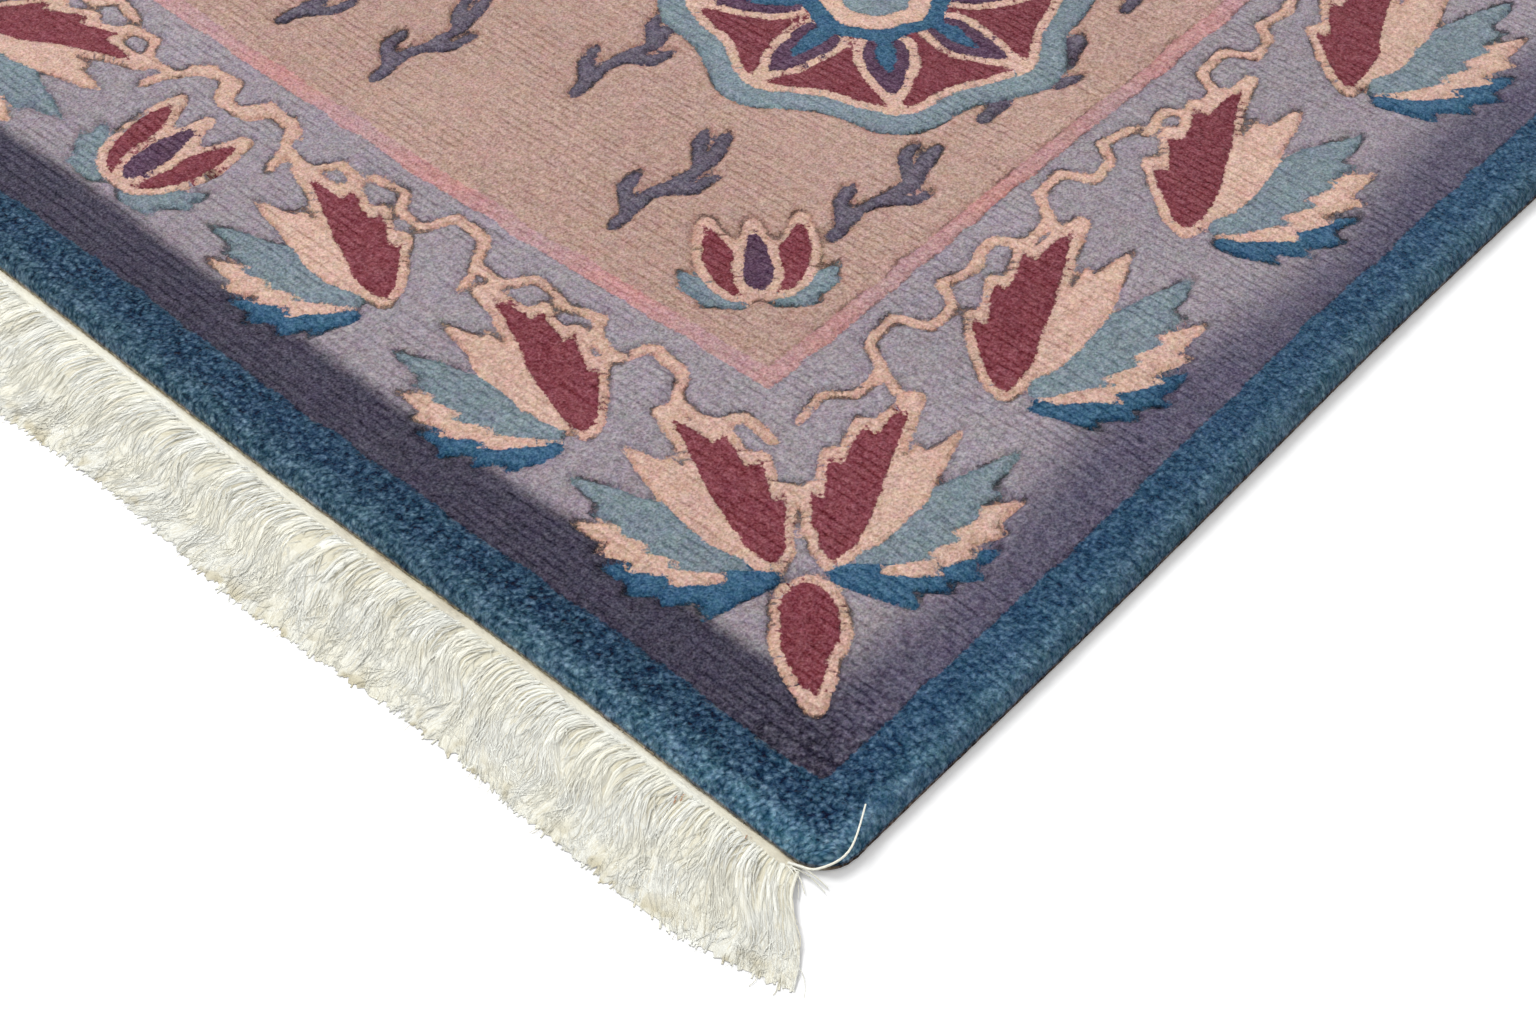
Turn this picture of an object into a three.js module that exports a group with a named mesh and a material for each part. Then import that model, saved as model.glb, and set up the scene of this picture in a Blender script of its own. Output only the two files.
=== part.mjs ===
// Hand-knotted wool rug with a cotton fringe at both ends, lying flat.
// Millimetres, +Z up. The rug is as wide as X and as long as Y, and its underside is at z = 0.
import * as THREE from 'three';

// The wool body: pile on its woven ground.
const BODY_WIDTH = 922;
const BODY_LENGTH = 1525;
const BODY_THICKNESS = 10;
const CORNER_RADIUS = 12;
const SIDE_STEPS = 44;
const END_STEPS = 28;
const CORNER_STEPS = 4;
const INNER_X = BODY_WIDTH / 2 - CORNER_RADIUS;
const INNER_Y = BODY_LENGTH / 2 - CORNER_RADIUS;

// How the edge is rounded, from the underside up to the flat top of the pile.
const EDGE_PROFILE = [
  { inset: 2.6, height: 0 },
  { inset: 1.0, height: 1.4 },
  { inset: 0.2, height: 3.4 },
  { inset: 0.0, height: 5.6 },
  { inset: 0.8, height: 7.8 },
  { inset: 2.4, height: 9.2 },
  { inset: 5.0, height: BODY_THICKNESS },
];

// The edges of a hand-made rug wander in by a few millimetres. One wave runs along each edge.
const EDGE_WAVES = {
  east: { depth: 2.6, waves: 3.4, phase: 4.4 },
  north: { depth: 2.2, waves: 2.3, phase: 2.1 },
  west: { depth: 2.8, waves: 2.9, phase: 3.7 },
  south: { depth: 2.0, waves: 2.6, phase: 1.2 },
};

// The cotton ends: a flat-woven strip, then the free warp ends as a comb of locks.
const TOUCH_GAP = 0.3;
const STRIP_WIDTH = 5;
const STRIP_THICKNESS = 2.4;
const FRINGE_REACH = 52;
const ROOT_THICKNESS = 4.2;
const TIP_THICKNESS = 2.6;
const LOCK_COUNT = 42;
const LOCK_GAP = 1.6;
const CORNER_FLARE = 26;
const FLARE_POWER = 7;
const TIP_ROUNDING = 3.2;

// How the locks of each fringe lean along the edge, and how ragged their ends are.
const FRINGE_TABLE = [
  { edge: 'south', end: -1, lean: 7, leanWaves: 2.7, leanPhase: 0.4, ragged: 4.5, raggedWaves: 5.3 },
  { edge: 'north', end: 1, lean: 6, leanWaves: 3.1, leanPhase: 1.9, ragged: 4.0, raggedWaves: 4.6 },
];

const woolMaterial = new THREE.MeshStandardMaterial({ color: 0x9a8791, roughness: 0.95, metalness: 0 });
const cottonMaterial = new THREE.MeshStandardMaterial({ color: 0xdfded3, roughness: 0.9, metalness: 0 });

// How far an edge wanders in at a share along it, from 0 to the wave's depth.
// It fades out towards both corners, so that neighbouring edges meet.
function waveInset(wave, share) {
  const swing = 0.5 - 0.5 * Math.cos(2 * Math.PI * wave.waves * share + wave.phase);
  const fade = Math.sin(Math.PI * share) ** 0.5;
  return wave.depth * swing * fade;
}

// The straight stretch of one edge, between its two corner roundings.
function edgePoints(start, end, steps, wave) {
  const along = end.clone().sub(start);
  const inward = new THREE.Vector2(-along.y, along.x).normalize();
  const points = [];
  for (let step = 0; step <= steps; step += 1) {
    const share = step / steps;
    const point = start.clone().addScaledVector(along, share);
    points.push(point.addScaledVector(inward, waveInset(wave, share)));
  }
  return points;
}

function cornerPoints(centre, startAngle) {
  const points = [];
  for (let step = 1; step < CORNER_STEPS; step += 1) {
    const angle = startAngle + (Math.PI / 2) * (step / CORNER_STEPS);
    const x = centre.x + CORNER_RADIUS * Math.cos(angle);
    const y = centre.y + CORNER_RADIUS * Math.sin(angle);
    points.push(new THREE.Vector2(x, y));
  }
  return points;
}

// The body's outline, anticlockwise from the south-east corner.
function bodyOutline() {
  const halfX = BODY_WIDTH / 2;
  const halfY = BODY_LENGTH / 2;
  const at = (x, y) => new THREE.Vector2(x, y);
  return [
    ...edgePoints(at(halfX, -INNER_Y), at(halfX, INNER_Y), SIDE_STEPS, EDGE_WAVES.east),
    ...cornerPoints(at(INNER_X, INNER_Y), 0),
    ...edgePoints(at(INNER_X, halfY), at(-INNER_X, halfY), END_STEPS, EDGE_WAVES.north),
    ...cornerPoints(at(-INNER_X, INNER_Y), Math.PI / 2),
    ...edgePoints(at(-halfX, INNER_Y), at(-halfX, -INNER_Y), SIDE_STEPS, EDGE_WAVES.west),
    ...cornerPoints(at(-INNER_X, -INNER_Y), Math.PI),
    ...edgePoints(at(-INNER_X, -halfY), at(INNER_X, -halfY), END_STEPS, EDGE_WAVES.south),
    ...cornerPoints(at(INNER_X, -INNER_Y), Math.PI * 1.5),
  ];
}

// An outline moved inwards along the bisector of its two edges at each point.
function insetOutline(outline, inset) {
  const count = outline.length;
  return outline.map((point, index) => {
    const before = outline[(index + count - 1) % count];
    const after = outline[(index + 1) % count];
    const tangent = after.clone().sub(before).normalize();
    return new THREE.Vector2(point.x - tangent.y * inset, point.y + tangent.x * inset);
  });
}

// A closed solid through a stack of outlines with equally many points, capped below and above.
function stackGeometry(rings) {
  const count = rings[0].points.length;
  const positions = rings.flatMap((ring) => ring.points.flatMap((point) => [point.x, point.y, ring.height]));
  const indices = [];
  for (let level = 0; level < rings.length - 1; level += 1) {
    for (let index = 0; index < count; index += 1) {
      const next = (index + 1) % count;
      const low = level * count;
      const high = low + count;
      indices.push(low + index, low + next, high + next);
      indices.push(low + index, high + next, high + index);
    }
  }
  const topStart = (rings.length - 1) * count;
  for (const [a, b, c] of THREE.ShapeUtils.triangulateShape(rings[0].points, [])) {
    indices.push(c, b, a);
  }
  for (const [a, b, c] of THREE.ShapeUtils.triangulateShape(rings[rings.length - 1].points, [])) {
    indices.push(topStart + a, topStart + b, topStart + c);
  }
  const geometry = new THREE.BufferGeometry();
  geometry.setAttribute('position', new THREE.Float32BufferAttribute(positions, 3));
  geometry.setIndex(indices);
  geometry.computeVertexNormals();
  return geometry;
}

function makeBody() {
  const outline = bodyOutline();
  const rings = EDGE_PROFILE.map((row) => ({ points: insetOutline(outline, row.inset), height: row.height }));
  const mesh = new THREE.Mesh(stackGeometry(rings), woolMaterial);
  mesh.name = 'rug_body';
  return mesh;
}

// How far a lock's tip leans along the edge: a slow wave, and a fan towards both corners.
function tipShift(row, share) {
  const wave = row.lean * Math.sin(2 * Math.PI * row.leanWaves * share + row.leanPhase);
  const side = 2 * share - 1;
  const fan = CORNER_FLARE * Math.sign(side) * Math.abs(side) ** FLARE_POWER;
  return wave * (1 - Math.abs(side) ** FLARE_POWER) + fan;
}

function lockReach(row, share) {
  const swing = 0.5 - 0.5 * Math.cos(2 * Math.PI * row.raggedWaves * share);
  const uneven = 0.5 + 0.5 * Math.sin(41 * share + row.leanPhase);
  return FRINGE_REACH - row.ragged * (0.7 * swing + 0.3 * uneven);
}

// One lock's outline from its left foot on the strip round its tip to its right foot.
// x runs along the edge and y away from the body.
function lockOutline(row, index) {
  const lockWidth = (2 * INNER_X) / LOCK_COUNT;
  const left = -INNER_X + index * lockWidth;
  const right = left + lockWidth;
  const share = (index + 0.5) / LOCK_COUNT;
  const reach = lockReach(row, share);
  const shiftLeft = tipShift(row, index / LOCK_COUNT);
  const shiftRight = tipShift(row, (index + 1) / LOCK_COUNT);
  const middle = 0.5 * (STRIP_WIDTH + reach);
  const half = LOCK_GAP / 2;
  return [
    new THREE.Vector2(left + half * 0.5, STRIP_WIDTH),
    new THREE.Vector2(left + half + shiftLeft * 0.4, middle),
    new THREE.Vector2(left + half + shiftLeft, reach - TIP_ROUNDING),
    new THREE.Vector2((left + right + shiftLeft + shiftRight) / 2, reach),
    new THREE.Vector2(right - half + shiftRight, reach - TIP_ROUNDING),
    new THREE.Vector2(right - half + shiftRight * 0.4, middle),
    new THREE.Vector2(right - half * 0.5, STRIP_WIDTH),
  ];
}

// The thickness of a cotton end at a distance from the body.
function cottonThickness(distance) {
  if (distance < STRIP_WIDTH) {
    return STRIP_THICKNESS;
  }
  const share = (distance - STRIP_WIDTH) / (FRINGE_REACH - STRIP_WIDTH);
  const crown = Math.sin(Math.PI * Math.min(share * 1.4, 1)) * (ROOT_THICKNESS - STRIP_THICKNESS);
  return STRIP_THICKNESS + crown * 0.6 + (TIP_THICKNESS - STRIP_THICKNESS) * share;
}

// The strip's back edge, with a point across from each point of the body's edge.
function stripBack() {
  const points = [];
  for (let step = 0; step <= END_STEPS; step += 1) {
    points.push(new THREE.Vector2(INNER_X * (1 - (2 * step) / END_STEPS), 0));
  }
  return points;
}

// Moves an outline point of a cotton end to its place against the body's wandering edge.
function placeAtEnd(row, point) {
  const share = Math.min(Math.max((point.x + INNER_X) / (2 * INNER_X), 0), 1);
  const inset = waveInset(EDGE_WAVES[row.edge], share);
  const y = BODY_LENGTH / 2 - inset + TOUCH_GAP + point.y;
  return new THREE.Vector2(-row.end * point.x, row.end * y);
}

// The comb of one end: the strip is its back, and the locks are its teeth.
function makeCottonEnd(row) {
  const outline = stripBack();
  for (let index = 0; index < LOCK_COUNT; index += 1) {
    outline.push(...lockOutline(row, index));
  }
  const placed = outline.map((point) => placeAtEnd(row, point));
  const geometry = new THREE.ExtrudeGeometry(new THREE.Shape(placed), { depth: 1, bevelEnabled: false });
  const position = geometry.getAttribute('position');
  for (let index = 0; index < position.count; index += 1) {
    if (position.getZ(index) > 0) {
      const distance = Math.abs(position.getY(index)) - BODY_LENGTH / 2 - TOUCH_GAP;
      position.setZ(index, cottonThickness(distance));
    }
  }
  geometry.computeVertexNormals();
  const mesh = new THREE.Mesh(geometry, cottonMaterial);
  mesh.name = `cotton_end_${row.edge}`;
  return mesh;
}

const rug = new THREE.Group();
rug.add(makeBody());
for (const row of FRINGE_TABLE) {
  rug.add(makeCottonEnd(row));
}

// The origin is the middle of the whole rug's underside.
const reach = new THREE.Box3().setFromObject(rug);
const middle = reach.getCenter(new THREE.Vector3());
for (const piece of rug.children) {
  piece.position.set(-middle.x, -middle.y, 0);
}

export default rug;
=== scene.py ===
import math
from collections import namedtuple

import bpy
import numpy as np
from mathutils import Matrix, Vector


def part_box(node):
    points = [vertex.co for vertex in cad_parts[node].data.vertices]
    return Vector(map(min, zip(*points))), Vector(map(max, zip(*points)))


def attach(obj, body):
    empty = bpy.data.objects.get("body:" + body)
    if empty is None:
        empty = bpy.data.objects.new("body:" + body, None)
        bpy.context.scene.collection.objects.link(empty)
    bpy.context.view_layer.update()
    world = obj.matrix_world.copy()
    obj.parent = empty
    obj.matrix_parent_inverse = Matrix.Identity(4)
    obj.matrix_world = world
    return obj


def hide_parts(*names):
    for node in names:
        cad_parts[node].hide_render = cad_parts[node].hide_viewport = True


# A hand-knotted wool rug. Sizes in this script are millimetres, and meshes are made in metres.
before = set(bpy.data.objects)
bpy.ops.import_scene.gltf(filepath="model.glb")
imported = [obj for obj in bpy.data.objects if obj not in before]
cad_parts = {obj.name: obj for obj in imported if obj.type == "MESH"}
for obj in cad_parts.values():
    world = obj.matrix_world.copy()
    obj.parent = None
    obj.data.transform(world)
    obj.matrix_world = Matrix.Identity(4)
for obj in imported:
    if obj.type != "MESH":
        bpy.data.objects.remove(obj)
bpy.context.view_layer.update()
MM = 0.001

BODY_LOW, BODY_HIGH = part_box("rug_body")
CENTRE_X = (BODY_LOW.x + BODY_HIGH.x) / 2 / MM
CENTRE_Y = (BODY_LOW.y + BODY_HIGH.y) / 2 / MM
BODY_WIDTH = (BODY_HIGH.x - BODY_LOW.x) / MM
BODY_LENGTH = (BODY_HIGH.y - BODY_LOW.y) / MM
PILE_TOP = BODY_HIGH.z / MM
HALF_WIDTH = BODY_WIDTH / 2
HALF_LENGTH = BODY_LENGTH / 2

# The knots: one is a pair of cut ends on two warps, in rows between wefts.
KNOTS_ACROSS = 212
ROWS = 386
KNOT_WIDTH = BODY_WIDTH / KNOTS_ACROSS
ROW_HEIGHT = BODY_LENGTH / ROWS

# The pattern's bands, from the edge inwards.
BAND_KNOTS = 6
BAND_ROWS = 7
BAND_SIDE = BAND_KNOTS * KNOT_WIDTH
BAND_END = BAND_ROWS * ROW_HEIGHT
BORDER_END = 157.0
BORDER_SIDE = 167.0
GUARD_LINE = 8.6

# The pile's surface.
EDGE_ROUNDING = 6.0
EDGE_DROP = 5.2
CORNER_ROUNDING = 17.0
COMBED_RIM = 7.0
NAP_DROP = 0.8
# How wide the change is between what holds near the ends and what holds near the sides.
DIAGONAL_FADE = 60.0
CARVE_DEPTH = 1.0
SOFTNESS = 1.4

# The cotton ends.
STRIP_WIDTH = 5.0
STRIP_THICKNESS = 2.4
TOUCH_GAP = 0.3
FRINGE_REACH = 55.0
CORNER_FLARE = 33.0
FLARE_POWER = 7

# The same wandering edges as the body's.
CORNER_RADIUS = 12.0
HALF_END = HALF_WIDTH - CORNER_RADIUS
EDGE_WAVES = {
    "east": {"depth": 2.6, "waves": 3.4, "phase": 4.4},
    "north": {"depth": 2.2, "waves": 2.3, "phase": 2.1},
    "west": {"depth": 2.8, "waves": 2.9, "phase": 3.7},
    "south": {"depth": 2.0, "waves": 2.6, "phase": 1.2},
}
FRINGE_TABLE = {
    "south": dict(end=-1, lean=7.0, lean_waves=2.7, lean_phase=0.4, ragged=4.5, ragged_waves=5.3),
    "north": dict(end=1, lean=6.0, lean_waves=3.1, lean_phase=1.9, ragged=4.0, ragged_waves=4.6),
}

# The yarns' colours, in sRGB from 0 to 255.
YARNS = {
    "band_blue": (47, 76, 101),
    "shade": (68, 64, 80),
    "lilac": (152, 142, 150),
    "guard_pink": (178, 145, 147),
    "peach_ground": (181, 149, 138),
    "teal": (124, 137, 146),
    "crimson": (124, 62, 71),
    "leaf_blue": (58, 94, 122),
    "peach": (206, 171, 156),
    "plum": (88, 63, 84),
    "slate": (102, 94, 108),
}
BLUE, SHADE, LILAC, GUARD, FIELD, TEAL, CRIMSON, LEAF_BLUE, PEACH, PLUM, SLATE = range(len(YARNS))
# The band's lighter blue, worn near the corners and a painted highlight at the rim and along the sides; the
# border's dark edge, painted lighter along the sides; the guard's deeper spots; and the strip's foot.
WORN_AND_LIT_BLUE = (72, 102, 122)
LIT_SIDE_SHADE = (90, 85, 104)
DEEP_PINK = (192, 138, 134)
EDGE_COTTON = (196, 184, 158)

rng = np.random.default_rng(11)


# ---------------------------------------------------------------- pattern

# The pattern is drawn on a fine grid, four cells to a knot each way, so that the shears can follow its lines.
CELLS_PER_KNOT = 4
CELL_X = (np.arange(KNOTS_ACROSS * CELLS_PER_KNOT) + 0.5) * KNOT_WIDTH / CELLS_PER_KNOT - HALF_WIDTH
CELL_Y = (np.arange(ROWS * CELLS_PER_KNOT) + 0.5) * ROW_HEIGHT / CELLS_PER_KNOT - HALF_LENGTH


def fill(chart, outline, yarn, grow=0.0):
    """Ties in one yarn everything inside a closed outline, and as far outside it as grow."""
    low, high = outline.min(0) - grow, outline.max(0) + grow
    columns = np.nonzero((CELL_X >= low[0]) & (CELL_X <= high[0]))[0]
    rows = np.nonzero((CELL_Y >= low[1]) & (CELL_Y <= high[1]))[0]
    x, y = CELL_X[columns][None, :], CELL_Y[rows][:, None]
    inside = np.zeros((len(rows), len(columns)), bool)
    near = np.zeros(inside.shape, bool)
    for (x0, y0), (x1, y1) in zip(outline, np.roll(outline, -1, 0)):
        dx, dy = x1 - x0, y1 - y0
        if dy != 0:
            inside ^= ((y < y0) != (y < y1)) & (x < x0 + (y - y0) * dx / dy)
        if grow > 0:
            share = np.clip(((x - x0) * dx + (y - y0) * dy) / max(dx * dx + dy * dy, 1e-6), 0, 1)
            near |= np.hypot(x - x0 - share * dx, y - y0 - share * dy) < grow
    spot = np.ix_(rows, columns)
    chart[spot] = np.where(inside | near, yarn, chart[spot])


def ribbon(route, width):
    """The outline of a line with sharp corners and pointed ends."""
    step = np.diff(route, axis=0)
    step = step / np.linalg.norm(step, axis=1, keepdims=True)
    across = np.stack([-step[:, 1], step[:, 0]], 1)
    corner = across[1:] + across[:-1]
    corner = corner / np.maximum(1 + (across[1:] * across[:-1]).sum(1, keepdims=True), 0.4)
    joint = np.concatenate([across[:1], corner, across[-1:]]) * width / 2
    tips = route[:1] - step[:1] * width / 2, route[-1:] + step[-1:] * width
    return np.concatenate([tips[0], route + joint, tips[1], (route - joint)[::-1]])


# A leaf of a motif: where it starts, the way it points and bends in degrees, and the teeth on its one side.
Leaf = namedtuple("Leaf", "yarn u v heading length width bend teeth depth side", defaults=(0, 0, 1))
# The stretch of a leaf's edge that has teeth, as shares of its length.
TEETH_START = 0.14
TEETH_SPAN = 0.62


def outline_of(leaf, point=0.0):
    """A leaf's outline in the motif's own directions. point lengthens its tip."""
    steps = np.linspace(0, 1.3, 53)
    angle = math.radians(leaf.heading) + math.radians(leaf.bend) * (steps - 0.5)
    spine_x = leaf.u + np.cumsum(np.cos(angle)) * leaf.length * steps[1]
    spine_y = leaf.v + np.cumsum(np.sin(angle)) * leaf.length * steps[1]

    def at(t, out):
        """The place at a share of the leaf's length, and that far out from its middle."""
        turn = math.radians(leaf.heading + leaf.bend * (t - 0.5))
        out = out * leaf.side
        spine = np.interp(t, steps, spine_x), np.interp(t, steps, spine_y)
        return spine[0] - math.sin(turn) * out, spine[1] + math.cos(turn) * out

    def half_width(t):
        return 0.5 * leaf.width * math.sin(math.pi * t**0.7) ** 0.85

    points = [at(0, 0), at(0.08, half_width(0.08))]
    for k in range(leaf.teeth):
        start = TEETH_START + TEETH_SPAN * k / leaf.teeth
        end = start + TEETH_SPAN / leaf.teeth
        points.append(at(start, half_width(start)))
        points.append(at(end + 0.04, half_width(end) + leaf.depth * (1 - 0.45 * start)))
        points.append(at(end - 0.02, half_width(end) * 0.85))
    barbed_to = TEETH_START + TEETH_SPAN * (leaf.teeth > 0)
    points += [at(t, half_width(t)) for t in np.arange(barbed_to + 0.07, 0.95, 0.09)]
    points.append(at(1 + point, 0))
    points += [at(t, -half_width(t)) for t in np.arange(0.92, 0.05, -0.1)]
    return np.array(points)


def placed(points, origin, turn, mirror):
    """Points turned about an origin, after a flip across u where mirror is -1."""
    c, s = math.cos(turn), math.sin(turn)
    u, v = points[:, 0], points[:, 1] * mirror
    return np.stack([origin[0] + c * u - s * v, origin[1] + s * u + c * v], 1)


def quarters(x, y, heading, mirror):
    """A place measured from the south-east corner, and its three mirror images."""
    for side in (1, -1):
        for end in (1, -1):
            turn = math.atan2(math.sin(heading) * end, math.cos(heading) * side)
            yield (side * (HALF_WIDTH - x), -end * (HALF_LENGTH - y)), turn, mirror * side * end


OUTLINE = 4.2
OUTLINED = (CRIMSON, PLUM)
SPRAY = [
    Leaf(LEAF_BLUE, 0, -5, -33, 88, 22, 30, 3, 11, -1),
    Leaf(PEACH, 6, -5, -19, 106, 26, 14, 3, 10, -1),
    Leaf(TEAL, 4, -2, -7, 126, 30, 2, 4, 10, -1),
    Leaf(PEACH, 12, 3, 7, 112, 26, -8, 3, 10, 1),
    Leaf(CRIMSON, 0, 5, 21, 124, 28, -26, 3, 11, 1),
]
CORNER_BUD = [
    Leaf(LEAF_BLUE, -6, -6, -58, 42, 12, 44, 2, 7, -1),
    Leaf(LEAF_BLUE, -6, 6, 58, 42, 12, -44, 2, 7, 1),
    Leaf(CRIMSON, -4, 0, 0, 56, 24, 0),
]
TULIP = [
    Leaf(TEAL, 0, -2, -52, 46, 14, 60, 2, 6, -1),
    Leaf(TEAL, 0, 2, 52, 46, 14, -60, 2, 6, 1),
    Leaf(CRIMSON, 4, -3, -20, 54, 18, 30),
    Leaf(CRIMSON, 4, 3, 20, 54, 18, -30),
    Leaf(PLUM, 6, 0, 0, 46, 15, 0),
]


def draw_leaves(chart, table, origin, turn, mirror, scale):
    """The leaves of a table, the last on top. The red and plum ones have a peach outline."""
    for leaf in table:
        if leaf.yarn in OUTLINED:
            fill(chart, placed(outline_of(leaf, 0.06) * scale, origin, turn, mirror), PEACH, OUTLINE)
        fill(chart, placed(outline_of(leaf) * scale, origin, turn, mirror), leaf.yarn)


def motif(chart, table, x, y, heading, mirror=1, scale=1.0):
    """A motif at a place measured from the south-east corner, and its mirror images."""
    for origin, turn, flip in quarters(x, y, heading, mirror):
        draw_leaves(chart, table, origin, turn, flip, scale)


def lobed(x, y, radius, amount=0.05):
    """The outline of a disc with eight lobes."""
    angle = np.linspace(0, 2 * np.pi, 180, endpoint=False)
    r = radius * (1 + amount * np.cos(8 * angle))
    return np.stack([x + r * np.cos(angle), y + r * np.sin(angle)], 1)


def rosette(chart, x, y, radius):
    """A medallion of lobed rings round eight petals."""
    for yarn, share in ((TEAL, 1.0), (PEACH, 0.87), (CRIMSON, 0.82)):
        fill(chart, lobed(x, y, radius * share), yarn)
    petals = [
        Leaf(PLUM, radius * 0.28, 0, 0, radius * 0.50, radius * 0.22, 0),
        Leaf(LEAF_BLUE, radius * 0.34, 0, 0, radius * 0.30, radius * 0.10, 0),
    ]
    for k in range(8):
        draw_leaves(chart, petals, (x, y), k * math.pi / 4, 1, 1.0)
    for yarn, share in ((LEAF_BLUE, 0.36), (PEACH, 0.27), (TEAL, 0.17)):
        fill(chart, lobed(x, y, radius * share, 0.03), yarn)


def draw_route(chart, x, y, heading, mirror, points, width, yarn):
    """A line at a place measured from the south-east corner, and its mirror images."""
    for origin, turn, flip in quarters(x, y, heading, mirror):
        fill(chart, ribbon(placed(np.array(points, float), origin, turn, flip), width), yarn)


VINE = [(0, 0), (18, 3), (26, -9), (44, -7), (52, 6), (70, 8), (76, -6), (92, -4), (98, 6), (116, 2)]
VINE_TWIG = [(44, -7), (38, -20)]
SPRIG = [(0, 0), (24, 3), (50, -3), (74, 3)]
SPRIG_BARBS = [(10, 1, 1), (30, 2, -1), (50, -3, 1)]
SPRIG_START = (40, 84)
SPRIG_STEP = (74, 104)
ALONG_END, ALONG_SIDE, TO_CORNER = math.pi, math.pi / 2, -math.pi / 4


def draw_vines(chart):
    """The peach angular vine along the inner side of the border, with a twig in each wave."""
    for x, y, heading, mirror, count in ((148, 137, ALONG_END, -1, 3), (148, 151, ALONG_SIDE, 1, 6)):
        for k in range(count):
            for points in (VINE, VINE_TWIG):
                moved = [(u + VINE[-1][0] * k, v + (k % 2) * 4) for u, v in points]
                draw_route(chart, x, y, heading, mirror, moved, 5.4, PEACH)


def draw_sprigs(chart):
    """Staggered rows of slate sprigs over the field, each a bent stem with a few short barbs."""
    for n in range(4):
        for k in range(5):
            x = BORDER_SIDE + SPRIG_START[0] + SPRIG_STEP[0] * n
            y = BORDER_END + SPRIG_START[1] + SPRIG_STEP[1] * (k - 0.5 * (n % 2))
            draw_route(chart, x, y, ALONG_SIDE, 1, SPRIG, 6.8, SLATE)
            for u, v, side in SPRIG_BARBS:
                barb = [(u, v), (u + 11, v + 12 * side), (u + 20, v + 14 * side)]
                draw_route(chart, x, y, ALONG_SIDE, 1, barb, 6.2, SLATE)


def make_chart():
    """The yarn of every cell, row by row."""
    from_side, from_end = from_edges(*np.meshgrid(CELL_X, CELL_Y))
    chart = np.full(from_side.shape, LILAC)
    chart[(from_side > BORDER_SIDE) & (from_end > BORDER_END)] = GUARD
    chart[(from_side > BORDER_SIDE + GUARD_LINE) & (from_end > BORDER_END + GUARD_LINE)] = FIELD
    draw_vines(chart)
    draw_sprigs(chart)
    for k in range(2):
        motif(chart, SPRAY, 204 + 114 * k, 88, ALONG_END, -1, 0.72)
    for k in range(4):
        motif(chart, SPRAY, 91, 214 + 126 * k, ALONG_SIDE, 1, 0.84)
    motif(chart, SPRAY, 102, 84, ALONG_END, -1, 0.72)
    motif(chart, SPRAY, 84, 102, ALONG_SIDE, 1, 0.72)
    motif(chart, CORNER_BUD, 90, 90, TO_CORNER)
    motif(chart, TULIP, HALF_WIDTH, 62, ALONG_SIDE)
    motif(chart, TULIP, 62, HALF_LENGTH, ALONG_END)
    motif(chart, TULIP, BORDER_SIDE + 36, BORDER_END + 36, math.radians(135), 1, 0.9)
    rosette(chart, 0, 0, 165)
    for side in (1, -1):
        for end in (1, -1):
            rosette(chart, side * (HALF_WIDTH - 300), end * (HALF_LENGTH - 385), 96)
    chart[(from_side < BAND_SIDE) | (from_end < BAND_END)] = BLUE
    return unsteady(chart)


def unsteady(chart):
    """The same pattern with the small wobbles of handwork in its lines."""
    j, i = np.indices(chart.shape)
    cells = (chart.shape[0] // 14, chart.shape[1] // 14)
    j = j + np.rint(0.7 * smooth_noise(chart.shape, cells, 3)).astype(int)
    i = i + np.rint(0.7 * smooth_noise(chart.shape, cells, 4)).astype(int)
    return chart[np.clip(j, 0, chart.shape[0] - 1), np.clip(i, 0, chart.shape[1] - 1)]


# ---------------------------------------------------------------- meshes


def add_object(name, data):
    obj = bpy.data.objects.new(name, data)
    bpy.context.scene.collection.objects.link(obj)
    return obj


def to_mesh(name, points, corners, sizes):
    """A new object from points in millimetres, all the faces' corners, and how many corners each face has."""
    mesh = bpy.data.meshes.new(name)
    points = np.asarray(points, np.float64) + (CENTRE_X, CENTRE_Y, 0)
    mesh.vertices.add(len(points))
    mesh.vertices.foreach_set("co", (points * MM).astype(np.float32).ravel())
    mesh.loops.add(len(corners))
    mesh.loops.foreach_set("vertex_index", corners.astype(np.int32))
    mesh.polygons.add(len(sizes))
    mesh.polygons.foreach_set("loop_start", (np.cumsum(sizes) - sizes).astype(np.int32))
    mesh.update(calc_edges=True)
    mesh.polygons.foreach_set("use_smooth", np.ones(len(sizes), bool))
    return add_object(name, mesh)


def grid_mesh(name, points, flip=False):
    """A new object from a grid of points, rows x columns x 3."""
    index = np.arange(points.shape[0] * points.shape[1]).reshape(points.shape[:2])
    faces = np.stack([index[:-1, :-1], index[:-1, 1:], index[1:, 1:], index[1:, :-1]], -1).reshape(-1, 4)
    if flip:
        faces = faces[:, ::-1]
    return to_mesh(name, points.reshape(-1, 3), faces.ravel(), np.full(len(faces), 4))


def set_colours(obj, name, colours, sizes=1):
    """A colour at every face corner, from one for each face of that many corners, or one for each corner."""
    colours = np.repeat(colours, sizes, axis=0)
    values = np.concatenate([colours, np.ones((len(colours), 1))], 1).astype(np.float32)
    obj.data.color_attributes.new(name, "FLOAT_COLOR", "CORNER").data.foreach_set("color", values.ravel())


def set_values(obj, **table):
    """Numbers for every vertex, by name."""
    for name, values in table.items():
        values = np.broadcast_to(np.asarray(values, np.float32), len(obj.data.vertices))
        obj.data.attributes.new(name, "FLOAT", "POINT").data.foreach_set("value", values.copy())


def set_places(obj, name, places):
    """A place in millimetres for every vertex, to lay a texture by."""
    values = (places.reshape(-1, 3) * MM).astype(np.float32)
    obj.data.attributes.new(name, "FLOAT_VECTOR", "POINT").data.foreach_set("vector", values.ravel())


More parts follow.
